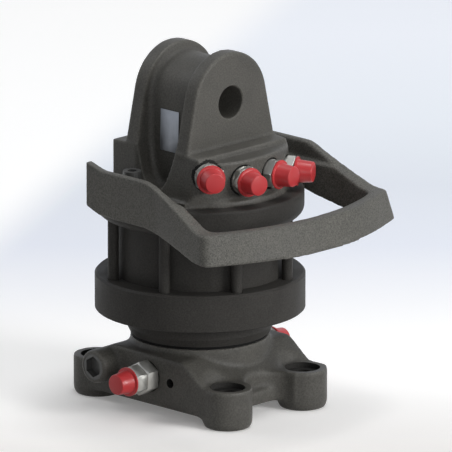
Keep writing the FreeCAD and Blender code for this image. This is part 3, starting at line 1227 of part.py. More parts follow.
def make_hose_guard():
    body = new_body("hose_guard")
    slope = sine(S["guard_flare"]) / cosine(S["guard_flare"])
    high = S["guard_block_top"]
    low = S["guard_block_bottom"]
    loft = body.newObject("PartDesign::AdditiveLoft", "guard_block")
    loft.Profile = guard_outline(body, high, -((high - S["guard_bar_top"]) * slope))
    loft.Sections = [guard_outline(body, low, (S["guard_bar_top"] - low) * slope)]
    loft.Ruled = True
    inner_x = S["guard_corner_x"] - S["guard_corner_wall"]
    inner_y = S["guard_corner_y"] - S["guard_bar_width"] / 2
    inner_nose = inner_y + inner_x * S["guard_bow"] / S["guard_corner_x"]
    for wall, level in ((S["guard_wall"], S["guard_shelf"]), (S["guard_foot_wall"], low - 1)):
        arm = S["guard_arm"] - wall
        hollow = [
            (-arm, S["guard_back_y"] + S["guard_margin"]), (-arm, -S["guard_bend_y"]),
            (-inner_x, -inner_y, S["guard_inner_round"]), (NOTHING, -inner_nose, S["guard_inner_arc"]),
            (inner_x, -inner_y, S["guard_inner_round"]),
            (arm, -S["guard_bend_y"]), (arm, S["guard_back_y"] + S["guard_margin"]),
        ]
        depth = high - level + 1
        pocket(body, closed_profile(body, "XY_Plane", hollow, level), depth, backwards=True)
    drum = S["drum_radius"] + S["guard_play"]
    pocket(body, circles(body, "XY_Plane", [(NOTHING, NOTHING, drum)], low - 1),
           S["disc_top"] - low + 1, backwards=True)
    front = -S["guard_front_arc"]
    back = S["guard_back_y"] + S["guard_margin"]
    top = [
        (front, S["guard_bar_top"]), (-S["guard_dip_y"], S["guard_bar_top"] + 1, S["guard_dip_round"]),
        (-S["guard_crest_y"], S["guard_crest"], S["guard_crest_round"]),
        (S["guard_curl_y"], S["guard_crest"], S["guard_curl_round"]),
        (back, S["guard_end_top"]), (back, high + S["guard_margin"]), (front, high + S["guard_margin"]),
    ]
    bottom = [
        (front, low - S["guard_margin"]), (back, low - S["guard_margin"]), (back, S["guard_end_bottom"]),
        (S["guard_curl_y"], S["guard_belly"], S["guard_curl_round"]),
        (-S["guard_crest_y"], S["guard_belly"] - 1, S["guard_crest_round"]),
        (-S["guard_dip_y"], S["guard_bar_bottom"] + S["guard_bar_slope"], S["guard_dip_round"]),
        (front, S["guard_bar_bottom"] - S["guard_bar_slope"]),
    ]
    for outline in (top, bottom):
        pocket(body, closed_profile(body, "YZ_Plane", outline), None, both_ways=True)
    lug_high = S["guard_shelf"]
    for side in (1.0, -1.0):
        spot = (side * S["lug_x"], S["lug_y"])
        thickness = lug_high - S["disc_top"]
        disc = circles(body, "XY_Plane", [(*spot, S["lug_radius"])], S["disc_top"])
        bridge = box_outline(spot[0], side * (S["guard_arm"] - S["guard_wall"] - 1),
                             S["lug_y"] - S["lug_radius"], S["lug_y"] + S["lug_radius"])
        if side < 0:
            bridge = [(x, y) for x, y in (bridge[1], bridge[0], bridge[3], bridge[2])]
        pad(body, closed_profile(body, "XY_Plane", bridge, S["disc_top"]), thickness)
        pad(body, disc, thickness)
        hole = circles(body, "XY_Plane", [(*spot, S["guard_screw_radius"] + S["bolt_play"])], lug_high)
        pocket(body, hole, thickness + 1)
    keep("hose_guard", body)


def make_guard_screws():
    body = new_body("guard_screws")
    for side in (1.0, -1.0):
        spot = (side * S["lug_x"], S["lug_y"])
        seat = S["guard_shelf"]
        pad(body, circles(body, "XY_Plane", [(*spot, S["guard_head_radius"])], seat), S["guard_head_height"])
        shank = seat - S["disc_top"] + S["guard_screw_reach"]
        pad(body, circles(body, "XY_Plane", [(*spot, S["guard_screw_radius"])], seat), shank, backwards=True)
        socket = hexagon(body, S["bolt_socket"], seat + S["guard_head_height"], spot)
        pocket(body, socket, S["guard_head_height"] / 2)
    keep("guard_screws", body)


# Adapters and caps are drawn along +Z from their seat and then turned to their port
def point_at(item, spot, direction):
    x, y, z = spot
    item.Placement = Placement(Vector(x.value, y.value, z.value), Rotation(Vector(0, 0, 1), direction))
    for axis, size in zip("xyz", (x, y, z)):
        item.setExpression(f"Placement.Base.{axis}", size.text)


def adapter_body(label, long):
    body = new_body(label)
    thread = S["port_radius"] - S["thread_play"]
    top = lower_adapter_height() if long else S["hex_height"]
    outline = [
        (S["adapter_bore"], 1 - S["port_depth"]), (thread, 1 - S["port_depth"]),
        (thread, S["washer_height"]),
        (S["hex_flats"] / 2, S["washer_height"]), (S["hex_flats"] / 2, top), (S["nose_radius"], top),
        (S["nose_radius"], top + S["nose_length"]), (S["adapter_bore"], top + S["nose_length"]),
    ]
    revolve(body, outline)
    if long:
        first = hexagon(body, S["long_hex_flats"], S["washer_height"])
        pad(body, first, S["long_hex_height"] - S["washer_height"])
        upper = hexagon(body, S["hex_flats"], S["long_hex_height"])
        pad(body, upper, S["nut_height"])
    else:
        pad(body, hexagon(body, S["hex_flats"], S["washer_height"]), top - S["washer_height"])
    pocket(body, circles(body, "XY_Plane", [(NOTHING, NOTHING, S["adapter_bore"])], top + S["nose_length"]))
    return body


def lower_adapter_height():
    return S["long_hex_height"] + S["nut_height"]


def cap_body(label):
    body = new_body(label)
    inside = S["nose_radius"] + S["cap_play"]
    roof = S["cap_length"] - S["cap_roof"]
    outline = [
        (inside, 0.0), (S["cap_flange_radius"], 0.0), (S["cap_flange_radius"], S["cap_flange_height"]),
        (S["cap_root_radius"], S["cap_flange_height"]),
        (S["cap_end_radius"], S["cap_length"], S["cap_edge_round"]), (NOTHING, S["cap_length"]),
        (NOTHING, roof), (inside, roof),
    ]
    revolve(body, outline)
    return body


def washer_piece(label):
    return ring_body(label, S["port_radius"] + S["thread_play"], S["washer_radius"], as_size(0.0),
                     S["washer_height"])


def make_port_fittings():
    washers = []
    for number, (turn, height) in enumerate(PORTS, start=1):
        seat = S["block_arc"] - S["spotface_depth"]
        angle = math.radians(turn.value)
        direction = Vector(math.sin(angle), -math.cos(angle), 0)
        adapter = adapter_body(f"upper_adapter_{number}", False)
        point_at(adapter, port_spot(turn, seat, height), direction)
        keep(f"upper_adapter_{number}", adapter)
        cap = cap_body(f"upper_cap_{number}")
        point_at(cap, port_spot(turn, seat + S["hex_height"] + S["cap_seat"], height), direction)
        keep(f"upper_cap_{number}", cap)
        washer = washer_piece(f"upper_washer_{number}")
        point_at(washer, port_spot(turn, seat, height), direction)
        washers.append(washer)
    keep("upper_seal_washers", group("upper_seal_washers", washers))
    washers = []
    for number, side in enumerate((-1.0, 1.0), start=1):
        seat = S["web_half_width"] - S["spotface_depth"]
        spot_y = S["lower_port_y"] * -side
        direction = Vector(side, 0, 0)
        adapter = adapter_body(f"lower_adapter_{number}", True)
        point_at(adapter, (seat * side, spot_y, S["lower_port_z"]), direction)
        keep(f"lower_adapter_{number}", adapter)
        cap = cap_body(f"lower_cap_{number}")
        cap_seat = seat + lower_adapter_height() + S["cap_seat"]
        point_at(cap, (cap_seat * side, spot_y, S["lower_port_z"]), direction)
        keep(f"lower_cap_{number}", cap)
        washer = washer_piece(f"lower_washer_{number}")
        point_at(washer, (seat * side, spot_y, S["lower_port_z"]), direction)
        washers.append(washer)
    keep("lower_seal_washers", group("lower_seal_washers", washers))


make_flange_casting()
make_side_plug()
make_foot_screws()
make_lower_cover()
make_tie_bolts()
make_cam_ring()
make_dowels()
make_side_plate("lower_side_plate", S["lower_plate_bottom"])
make_side_plate("upper_side_plate", S["drum_bottom"])
make_o_rings()
make_bearings()
make_rotor_shaft()
make_swivel_seals()
make_vane_rotor()
make_vanes()
make_head_casting()
make_hose_guard()
make_guard_screws()
make_port_fittings()
doc.recompute()

faults = [item.Label for item in doc.Objects if "Invalid" in item.State or "Error" in item.State]
if faults:
    raise RuntimeError(f"objects that failed: {faults}")
for label, item in NODES.items():
    if item.Shape.isNull() or not item.Shape.isValid() or not item.Shape.Solids:
        raise RuntimeError(f"{label} has no valid solid")

os.makedirs("parts", exist_ok=True)
for label, item in NODES.items():
    item.Shape.exportStep(f"parts/{label}.step")
    print(f"{label}: {len(item.Shape.Solids)} solids, {item.Shape.Volume / 1000:.1f} cm3")
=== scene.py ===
# %% [markdown]
# # A hydraulic rotator for a crane grapple
# The rotator hangs from a pin through its two ears and turns whatever is bolted below its four feet.
# The solids come from the CAD model. This script gives them their surfaces, replaces the castings, the port
# adapters and the caps by softer ones, and adds the plate, the floor, the lights and the camera.

# %% Load the CAD model
import math

import bmesh
import bpy
from mathutils import Matrix, Vector


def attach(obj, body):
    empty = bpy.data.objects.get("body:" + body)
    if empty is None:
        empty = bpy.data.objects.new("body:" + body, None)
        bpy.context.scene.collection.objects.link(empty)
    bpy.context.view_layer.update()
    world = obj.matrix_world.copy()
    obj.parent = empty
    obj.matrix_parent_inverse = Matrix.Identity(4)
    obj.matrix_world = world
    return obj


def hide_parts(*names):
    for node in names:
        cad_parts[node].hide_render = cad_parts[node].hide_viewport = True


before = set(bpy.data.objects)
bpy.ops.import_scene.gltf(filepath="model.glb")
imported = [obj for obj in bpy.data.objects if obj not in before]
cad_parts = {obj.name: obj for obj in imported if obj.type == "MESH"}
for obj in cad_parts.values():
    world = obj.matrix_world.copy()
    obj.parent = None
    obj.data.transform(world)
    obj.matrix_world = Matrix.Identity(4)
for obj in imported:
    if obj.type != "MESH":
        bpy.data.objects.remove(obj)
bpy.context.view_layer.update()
MM = 0.001

# %% [markdown]
# ## Camera
# The photograph was taken with a long lens from the front left, a little above the object. A long lens far
# away keeps the two ears almost the same size. The camera looks at the middle of the picture's frame.

# %% Camera
CAMERA_DISTANCE = 12.0
azimuth = math.radians(-45.4)
elevation = math.radians(14.9)
middle = Vector((16.4, -16.6, 161.0)) * MM
towards = Vector((
    math.sin(azimuth) * math.cos(elevation),
    -math.cos(azimuth) * math.cos(elevation),
    math.sin(elevation),
))
camera_data = bpy.data.cameras.new("camera")
camera_data.lens = 1062.0
camera_data.sensor_width = 36.0
camera_data.clip_end = 60.0
camera = bpy.data.objects.new("camera", camera_data)
camera.location = middle + towards * CAMERA_DISTANCE
camera.rotation_mode = "QUATERNION"
camera.rotation_quaternion = (-towards).to_track_quat("-Z", "Y")
bpy.context.scene.collection.objects.link(camera)
bpy.context.scene.camera = camera
bpy.context.scene.view_settings.view_transform = "Standard"
print("camera stands at", [round(value, 2) for value in camera.location])

# %% [markdown]
# ## Materials
# Each finish is a small node tree that reads Object coordinates, so that its grain has a real size in
# metres. The first helper starts a material and hands back its tree and its main shader. The others add a
# noise of a given grain, a ramp between two tones, and the product of two colours.


# %% Helpers for materials
def start_material(name, colour, roughness, metallic=0.0, gloss_level=0.5):
    material = bpy.data.materials.new(name)
    material.use_nodes = True
    shader = material.node_tree.nodes["Principled BSDF"]
    shader.inputs["Base Color"].default_value = (*colour, 1.0)
    shader.inputs["Roughness"].default_value = roughness
    shader.inputs["Metallic"].default_value = metallic
    shader.inputs["Specular IOR Level"].default_value = gloss_level
    return material, material.node_tree, shader


def add_node(tree, kind, **sockets):
    node = tree.nodes.new(kind)
    for socket, value in sockets.items():
        node.inputs[socket.replace("_", " ")].default_value = value
    return node


def grain(tree, size, detail=2.0):
    place = tree.nodes.new("ShaderNodeTexCoord")
    noise = add_node(tree, "ShaderNodeTexNoise", Scale=1.0 / size, Detail=detail)
    tree.links.new(place.outputs["Object"], noise.inputs["Vector"])
    return noise


def ramp_between(tree, source, low, high, stops=(0.35, 0.65)):
    ramp = tree.nodes.new("ShaderNodeValToRGB")
    ramp.color_ramp.elements[0].position = stops[0]
    ramp.color_ramp.elements[1].position = stops[1]
    ramp.color_ramp.elements[0].color = (*low, 1.0)
    ramp.color_ramp.elements[1].color = (*high, 1.0)
    tree.links.new(source, ramp.inputs["Fac"])
    return ramp


def multiplied(tree, first, second):
    mix = tree.nodes.new("ShaderNodeMix")
    mix.data_type = "RGBA"
    mix.blend_type = "MULTIPLY"
    mix.inputs["Factor"].default_value = 1.0
    tree.links.new(first, mix.inputs["A"])
    tree.links.new(second, mix.inputs["B"])
    return mix.outputs["Result"]


def grey(value):
    return (value, value, value)


# %% [markdown]
# ### Painted casting
# The castings are painted a dark warm grey. The sand mould's skin shows through the paint as small pits
# and grains, so one noise of about a millimetre makes the bump and the speckles, and a coarser one shifts
# tint and gloss. Pointiness, which tells how sharply the mesh turns, paints light and shade into the colour:
# edges get a painted highlight and are a little lighter, hollows get painted shade and are a little darker.


# %% Painted casting
TINT_PATCH = 30.0 * MM
TINT_SHIFT = 0.1


def painted_casting(name, colour, grain_size, depth, roughness, contrast, gloss_level, edge_highlight_hollow_shade=0.0):
    material, tree, shader = start_material(name, colour, roughness, gloss_level=gloss_level)
    cloudy = grain(tree, TINT_PATCH, 3.0)
    darker = tuple(value * (1.0 - TINT_SHIFT) for value in colour)
    lighter = tuple(value * (1.0 + TINT_SHIFT) for value in colour)
    tint = ramp_between(tree, cloudy.outputs["Fac"], darker, lighter)
    skin = grain(tree, grain_size, 3.0)
    pits = ramp_between(tree, skin.outputs["Fac"], grey(1.0 - contrast), grey(1.0 + contrast), (0.3, 0.7))
    speckled = multiplied(tree, tint.outputs["Color"], pits.outputs["Color"])
    # Pointiness paints a highlight on the edges and shade in the hollows into the colour
    form = tree.nodes.new("ShaderNodeNewGeometry")
    pointiness_light_shade = ramp_between(tree, form.outputs["Pointiness"], grey(1.0 - edge_highlight_hollow_shade), grey(1.0 + edge_highlight_hollow_shade),
                        (0.42, 0.58))
    tree.links.new(multiplied(tree, speckled, pointiness_light_shade.outputs["Color"]), shader.inputs["Base Color"])
    gloss = ramp_between(tree, cloudy.outputs["Fac"], grey(roughness - 0.05), grey(roughness + 0.07))
    tree.links.new(gloss.outputs["Color"], shader.inputs["Roughness"])
    bump = add_node(tree, "ShaderNodeBump", Strength=1.0, Distance=depth)
    tree.links.new(skin.outputs["Fac"], bump.inputs["Height"])
    tree.links.new(bump.outputs["Normal"], shader.inputs["Normal"])
    return material


# The body paint gets painted highlights on its edges and painted shade in its hollows
body_paint = painted_casting("body_paint", (0.071, 0.068, 0.060), grain_size=1.5 * MM, depth=0.16 * MM,
                             roughness=0.50, contrast=0.25, gloss_level=0.25, edge_highlight_hollow_shade=0.45)
guard_paint = painted_casting("guard_paint", (0.086, 0.083, 0.073), grain_size=1.3 * MM, depth=0.50 * MM,
                              roughness=0.52, contrast=0.45, gloss_level=0.25)
turned_paint = painted_casting("turned_paint", (0.038, 0.036, 0.033), grain_size=1.4 * MM, depth=0.04 * MM,
                               roughness=0.52, contrast=0.2, gloss_level=0.10)
# Two dark paints that paint in the shade inside bores, counterbores and spotfaces
bore_painted_shade_grey = painted_casting("bore_painted_shade_grey", (0.030, 0.029, 0.027), grain_size=1.4 * MM, depth=0.04 * MM,
                            roughness=0.60, contrast=0.2, gloss_level=0.10)
bore_painted_shade_black = painted_casting("bore_painted_shade_black", (0.014, 0.014, 0.013), grain_size=1.4 * MM, depth=0.04 * MM,
                             roughness=0.60, contrast=0.2, gloss_level=0.08)
print("paints:", [paint.name for paint in (body_paint, guard_paint, turned_paint, bore_painted_shade_grey, bore_painted_shade_black)])

# %% [markdown]
# ### Metals, plastic and rubber
# The port adapters are zinc plated, so they are metal with a faint cloudiness. Their caps are moulded in
# red plastic with a soft sheen. Seals, bushes and ground pieces inside have plainer finishes.


# %% Metals, plastic and rubber
GLOSS_PATCH = 6.0 * MM
GLOSS_SHIFT = 0.08
FINE_GRAIN = 0.7 * MM
FINE_DEPTH = 0.02 * MM


def cloudy_finish(name, colour, roughness, metallic, gloss_level=0.5):
    material, tree, shader = start_material(name, colour, roughness, metallic, gloss_level)
    cloudy = grain(tree, GLOSS_PATCH, 3.0)
    gloss = ramp_between(tree, cloudy.outputs["Fac"], grey(roughness - GLOSS_SHIFT),
                         grey(roughness + GLOSS_SHIFT))
    tree.links.new(gloss.outputs["Color"], shader.inputs["Roughness"])
    bump = add_node(tree, "ShaderNodeBump", Strength=0.4, Distance=FINE_DEPTH)
    fine = grain(tree, FINE_GRAIN)
    tree.links.new(fine.outputs["Fac"], bump.inputs["Height"])
    tree.links.new(bump.outputs["Normal"], shader.inputs["Normal"])
    return material


zinc = cloudy_finish("zinc_plate", (0.39, 0.385, 0.36), 0.36, 0.7)
red_plastic = cloudy_finish("red_cap_plastic", (0.45, 0.032, 0.035), 0.36, 0.0, gloss_level=0.36)
black_steel = cloudy_finish("black_steel", (0.075, 0.075, 0.072), 0.45, 0.3)
ground_steel = cloudy_finish("ground_steel", (0.50, 0.50, 0.51), 0.28, 1.0)
bronze = cloudy_finish("bronze", (0.55, 0.36, 0.16), 0.35, 1.0)
rubber = cloudy_finish("seal_rubber_black", (0.010, 0.010, 0.010), 0.70, 0.0, gloss_level=0.05)
seal_plastic = cloudy_finish("seal_plastic_cream", (0.70, 0.66, 0.58), 0.45, 0.0)
print("caps:", red_plastic.name, "| adapters:", zinc.name, "| seals:", rubber.name, seal_plastic.name)

# %% [markdown]
# ## Finishes for the CAD nodes
# Every node of the CAD model gets its finish here. The castings that are replaced further down get one
# too, because their nodes stay in the file, out of sight.

# %% Give each CAD node its finish
finishes = {
    "lower_cover": turned_paint, "cam_ring": turned_paint, "tie_bolts": turned_paint,
    "flange_casting": body_paint, "head_casting": body_paint, "hose_guard": guard_paint,
    "side_plug": black_steel, "flange_screws": black_steel, "guard_screws": black_steel,
    "cover_o_rings": rubber, "shaft_seal": rubber, "dust_seal": rubber,
    "lower_bush": bronze, "upper_bush": bronze, "ball_cage": bronze, "swivel_seals": seal_plastic,
}
for name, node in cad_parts.items():
    if "cap" in name:
        finish = red_plastic
    elif "adapter" in name or "washers" in name:
        finish = zinc
    else:
        finish = finishes.get(name, ground_steel)
    node.data.materials.clear()
    node.data.materials.append(finish)
print("nodes with a finish:", len(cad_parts))

# %% [markdown]
# ## Helpers for solid pieces
# A new piece starts as a bmesh: cylinders from one operator, turned parts from a profile that is spun
# round an axis. Its object stays at the origin, so a pattern on Object coordinates fits its place. The last
# helper gives some faces of a piece another finish, for surfaces that a tool has cut.


# %% Helpers for solid pieces
def along(direction, start):
    turn = Vector(direction).to_track_quat("Z", "Y").to_matrix().to_4x4()
    return Matrix.Translation(Vector(start) * MM) @ turn


def add_cylinder(shape, start, direction, radius, length, segments=64):
    matrix = along(direction, start) @ Matrix.Translation((0, 0, length * MM / 2))
    bmesh.ops.create_cone(shape, cap_ends=True, segments=segments, radius1=radius * MM, radius2=radius * MM,
                          depth=length * MM, matrix=matrix)


def add_turned(shape, profile, start=(0, 0, 0), direction=(0, 0, 1), steps=128):
    older = set(shape.verts)
    points = [shape.verts.new((radius * MM, 0, height * MM)) for radius, height in profile]
    edges = [shape.edges.new(pair) for pair in zip(points, points[1:])]
    bmesh.ops.spin(shape, geom=points + edges, cent=(0, 0, 0), axis=(0, 0, 1), dvec=(0, 0, 0),
                   angle=math.tau, steps=steps, use_merge=True, use_normal_flip=False)
    fresh = [vert for vert in shape.verts if vert not in older]
    bmesh.ops.remove_doubles(shape, verts=fresh, dist=0.002 * MM)
    fresh = [vert for vert in shape.verts if vert not in older]
    bmesh.ops.transform(shape, matrix=along(direction, start), verts=fresh)
    faces = {face for vert in fresh for face in vert.link_faces}
    bmesh.ops.recalc_face_normals(shape, faces=list(faces))


def place_piece(name, shape, finish, body, slot, *replaced):
    mesh = bpy.data.meshes.new(name)
    shape.to_mesh(mesh)
    shape.free()
    mesh.materials.append(finish)
    mesh.shade_smooth()
    mesh.set_sharp_from_angle(angle=math.radians(32))
    piece = bpy.data.objects.new(name, mesh)
    bpy.context.scene.collection.objects.link(piece)
    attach(piece, body)
    if replaced:
        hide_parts(*replaced)
    print(name, "faces:", len(mesh.polygons))
    return piece


def paint_faces(piece, chosen, finish):
    piece.data.materials.append(finish)
    painted = [face for face in piece.data.polygons if chosen(face.center / MM)]
    for face in painted:
        face.material_index = len(piece.data.materials) - 1
    print(piece.name, "faces in", finish.name, "-", len(painted))


# %% [markdown]
# ### Castings
# A sand casting has no sharp edges: its corners are worn in the pattern and filled in the mould. Each
# casting starts as a welded copy of its CAD node with the machined holes plugged. A voxel remesh gives it
# an even skin, smoothing rounds every edge, and the machined holes are then cut again with crisp edges. The
# tools that cut one casting must not overlap, so each hole with steps is one turned profile.


# %% Helpers for castings
def welded_copy(node):
    shape = bmesh.new()
    shape.from_mesh(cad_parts[node].data)
    bmesh.ops.remove_doubles(shape, verts=shape.verts, dist=0.005 * MM)
    return shape


def through_modifier(shape, kind, **settings):
    mesh = bpy.data.meshes.new("blank")
    shape.to_mesh(mesh)
    shape.free()
    blank = bpy.data.objects.new("blank", mesh)
    bpy.context.scene.collection.objects.link(blank)
    modifier = blank.modifiers.new("step", kind)
    for setting, value in settings.items():
        setattr(modifier, setting, value)
    depsgraph = bpy.context.evaluated_depsgraph_get()
    result = bpy.data.meshes.new_from_object(blank.evaluated_get(depsgraph))
    bpy.data.objects.remove(blank)
    fresh = bmesh.new()
    fresh.from_mesh(result)
    bpy.data.meshes.remove(result)
    bpy.data.meshes.remove(mesh)
    return fresh


def smooth_where(shape, passes, chosen):
    verts = [vert for vert in shape.verts if chosen(vert.co / MM)]
    for _ in range(passes):
        bmesh.ops.smooth_vert(shape, verts=verts, factor=0.5,
                              use_axis_x=True, use_axis_y=True, use_axis_z=True)


def keep_largest(shape):
    unseen = set(shape.verts)
    islands = []
    while unseen:
        island = set()
        border = [unseen.pop()]
        while border:
            vert = border.pop()
            island.add(vert)
            for edge in vert.link_edges:
                other = edge.other_vert(vert)
                if other in unseen:
                    unseen.remove(other)
                    border.append(other)
        islands.append(island)
    islands.sort(key=len)
    for island in islands[:-1]:
        bmesh.ops.delete(shape, geom=list(island), context="VERTS")


def cut_away(shape, cutter_shape):
    cutter_mesh = bpy.data.meshes.new("cutter")
    cutter_shape.to_mesh(cutter_mesh)
    cutter_shape.free()
    cutter = bpy.data.objects.new("cutter", cutter_mesh)
    bpy.context.scene.collection.objects.link(cutter)
    result = through_modifier(shape, "BOOLEAN", operation="DIFFERENCE", object=cutter, solver="MANIFOLD")
    bpy.data.objects.remove(cutter)
    return result


# %% [markdown]
# ## Flange casting
# The part that turns: a hub on four bolt feet, with a port in each side, a boss for a plug and a small
# tapped hole. All heights are in millimetres above the feet's bottoms. The plugs fill each machined hole
# nearly to its rim, and the remesh then melts them into the casting.

# %% Flange casting, plugged and remeshed
FEET = [(x, y) for x in (-48.0, 48.0) for y in (-82.0, 82.0)]
FOOT_TOP = 36.0
COUNTERBORE = 16.0
COUNTERBORE_FLOOR = 31.0
SIDE_WALL = 68.9
PORT_Y, PORT_Z = 3.0, 35.0
BOSS_FACE, BOSS_Y, BOSS_Z = -88.9, 48.0, 37.5
SIDE_HOLE_Y, SIDE_HOLE_Z = -30.5, 33.5
FLANGE_VOXEL = 1.5

flange = welded_copy("flange_casting")
for x, y in FEET:
    add_cylinder(flange, (x, y, 0.6), (0, 0, 1), COUNTERBORE + 1.0, FOOT_TOP - 1.2)
add_cylinder(flange, (BOSS_FACE, BOSS_Y, BOSS_Z), (1, 0, 0), 12.6, 20.0)
for side in (-1, 1):
    add_cylinder(flange, (SIDE_WALL * side, PORT_Y * side, PORT_Z), (-side, 0, 0), 14.8, 20.0)
add_cylinder(flange, (-SIDE_WALL, SIDE_HOLE_Y, SIDE_HOLE_Z), (1, 0, 0), 5.0, 18.0)
flange = through_modifier(flange, "REMESH", mode="VOXEL", voxel_size=FLANGE_VOXEL * MM)
print("flange skin:", len(flange.faces), "faces")

# %% [markdown]
# The slopes run from the hub into the feet in soft hollows. A flat ring lies round each counterbore, so the
# skin is first pressed down to it, and the slope rises again from the ring's edge. Then everything but the
# rims is smoothed for long; the rims get two passes only.

# %% Flange casting, soft slopes
RIM_REACH = 23.5
FLAT_RING = 18.2
RING_SLOPE = 2.0
HUB_TOP = 61.5


def foot_distance(place):
    return min(math.hypot(place.x - x, place.y - y) for x, y in FEET)


def slope_skin(place):
    on_rim = foot_distance(place) < RIM_REACH and FOOT_TOP - 3.0 < place.z < FOOT_TOP + 0.6
    return 1.0 < place.z < HUB_TOP and not on_rim


def foot_rim(place):
    return foot_distance(place) < RIM_REACH and place.z > FOOT_TOP - 5.0


for vert in flange.verts:
    ceiling = FOOT_TOP + RING_SLOPE * max(0.0, foot_distance(vert.co / MM) - FLAT_RING)
    vert.co.z = min(vert.co.z, ceiling * MM)
smooth_where(flange, 14, slope_skin)
smooth_where(flange, 2, foot_rim)
print("flange top in mm:", round(max(vert.co.z for vert in flange.verts) / MM, 1))

# %% [markdown]
# The foot holes with their counterbores, the ports with their spotfaces, the boss's bore and the tapped hole
# are cut by tools with crisp edges. Little light gets into them, so they are painted darker: that darker
# paint is painted shade.

# %% Flange casting, machined holes
BOLT_HOLE = 8.5
LOWER_SEAT = 68.7
SPOTFACE = 14.3
PORT_BORE = 8.35
BOSS_BORE = 12.05
SIDE_HOLE = 4.25
SIDE_TOOL = 76.0

foot_cuts = bmesh.new()
for x, y in FEET:
    add_turned(foot_cuts, [
        (0, -2), (BOLT_HOLE, -2), (BOLT_HOLE, COUNTERBORE_FLOOR), (COUNTERBORE, COUNTERBORE_FLOOR),
        (COUNTERBORE, 61), (0, 61),
    ], (x, y, 0), steps=64)
flange = cut_away(flange, foot_cuts)
side_cuts = bmesh.new()
for side in (-1, 1):
    add_turned(side_cuts, [
        (0, 0), (SPOTFACE, 0), (SPOTFACE, SIDE_TOOL - LOWER_SEAT), (PORT_BORE, SIDE_TOOL - LOWER_SEAT),
        (PORT_BORE, 21), (0, 21),
    ], (SIDE_TOOL * side, PORT_Y * side, PORT_Z), (-side, 0, 0), 64)
add_cylinder(side_cuts, (BOSS_FACE - 3.1, BOSS_Y, BOSS_Z), (1, 0, 0), BOSS_BORE, 20.0)
add_cylinder(side_cuts, (-SIDE_TOOL, SIDE_HOLE_Y, SIDE_HOLE_Z), (1, 0, 0), SIDE_HOLE, 21.5)
flange = cut_away(flange, side_cuts)
flange_piece = place_piece("flange_body", flange, body_paint, "rotor", "cast_body", "flange_casting")


def in_foot_hole(place):
    return foot_distance(place) < COUNTERBORE + 0.03 and place.z > 0.5


def in_side_cut(place):
    from_port = math.hypot(place.y - math.copysign(PORT_Y, place.x), place.z - PORT_Z)
    from_hole = math.hypot(place.y - SIDE_HOLE_Y, place.z - SIDE_HOLE_Z)
    in_port = from_port < SPOTFACE + 0.01 and abs(place.x) > 50.0
    in_hole = from_hole < SIDE_HOLE + 0.01 and place.x < -50.0
    return in_port or in_hole


# Painted shade: the foot holes grey, the ports' spotfaces and the tapped hole black
paint_faces(flange_piece, in_foot_hole, bore_painted_shade_grey)
paint_faces(flange_piece, in_side_cut, bore_painted_shade_black)

# %% [markdown]
# ## Head casting
# Drum, port block, ears and the web between them are one casting. The pin bore, the ports with their
# spotfaces, the bearing bores and the screw holes are machined, so they are plugged before the casting is
# softened and cut again afterwards. Each port's direction turns about the centre of the block's front arc.

# %% Head casting, plugged and remeshed
PIN_Z = 282.8
PORTS = [(-30.8, 226.8), (-10.4, 220.3), (10.4, 220.3), (30.8, 214.5)]
ARC_CENTRE = 24.0
SEAT = 97.2
GUARD_SCREWS = [(-70.7, 15.6), (70.7, 15.6)]
HEAD_VOXEL = 1.25


def port_way(turn):
    return math.sin(math.radians(turn)), -math.cos(math.radians(turn)), 0.0


def port_place(turn, reach, height):
    x, y, _ = port_way(turn)
    return x * reach, ARC_CENTRE + y * reach, height


def inwards(turn):
    x, y, z = port_way(turn)
    return -x, -y, z


head = welded_copy("head_casting")
add_cylinder(head, (0, -38.95, PIN_Z), (0, 1, 0), 16.4, 77.9)
for turn, height in PORTS:
    add_cylinder(head, port_place(turn, SEAT - 0.02, height), inwards(turn), 8.8, 18.0)
add_cylinder(head, (0, 0, 174.03), (0, 0, 1), 88.5, 18.0)
add_cylinder(head, (0, 0, 180.0), (0, 0, 1), 35.0, 18.0)
add_cylinder(head, (0, 0, 190.0), (0, 0, 1), 27.5, 49.5)
for x, y in GUARD_SCREWS:
    add_cylinder(head, (x, y, 186.0), (0, 0, 1), 5.6, 16.97)
head = through_modifier(head, "REMESH", mode="VOXEL", voxel_size=HEAD_VOXEL * MM)
keep_largest(head)
print("head skin:", len(head.faces), "faces")

# %% [markdown]
# The head is softened by zones: little on the drum, more on block and ears, and most at the block's lower
# corners, which are round on the real casting.

# %% Head casting, soft edges
DISC_TOP = 203.5


def drum_skin(place):
    return 176.0 < place.z < DISC_TOP


def head_skin(place):
    return place.z > DISC_TOP


def block_foot(place):
    outward = math.hypot(place.x, place.y)
    return DISC_TOP - 0.3 < place.z < DISC_TOP + 6.0 and outward < 84.0


def block_corner(place):
    return abs(place.x) > 40.0 and place.y < -34.0 and DISC_TOP + 0.5 < place.z < 246.0


for passes, zone in ((2, drum_skin), (3, head_skin), (3, block_foot), (8, block_corner)):
    smooth_where(head, passes, zone)
    print(zone.__name__, "smoothed", passes, "times")

# %% [markdown]
# From below, one stepped tool cuts the recess over the motor, the bush's seat and the swivel's bore, and a
# thin one the seal groove. The pin bore has a chamfer at both ends. The drum is turned, so it has a finer
# skin than the rest; its darker paint is partly the turned finish and partly painted shade from the guard
# in front of it. The spotfaces are painted black, as painted shade behind the adapters.

# %% Head casting, machined holes
BELOW = 168.0
RECESS, RECESS_TOP = 70.05, 182.0
BUSH_SEAT, BUSH_TOP = 34.0, 196.0
SWIVEL_BORE, SWIVEL_TOP = 26.05, 238.0
GROOVE_INNER, GROOVE_OUTER, GROOVE_TOP = 70.7, 74.3, 177.0
PIN_BORE = 15.0
PIN_CHAMFER = 6.0
EAR_FACE = 38.0
SCREW_HOLE = 5.05
TIE_CIRCLE = 84.5
TIE_BOLTS = [(TIE_CIRCLE * math.cos(turn), TIE_CIRCLE * math.sin(turn))
             for turn in (math.radians(22.5 + 45 * step) for step in range(8))]
PORT_TOOL = 106.0
DRUM_SHADE_TOP = 198.5

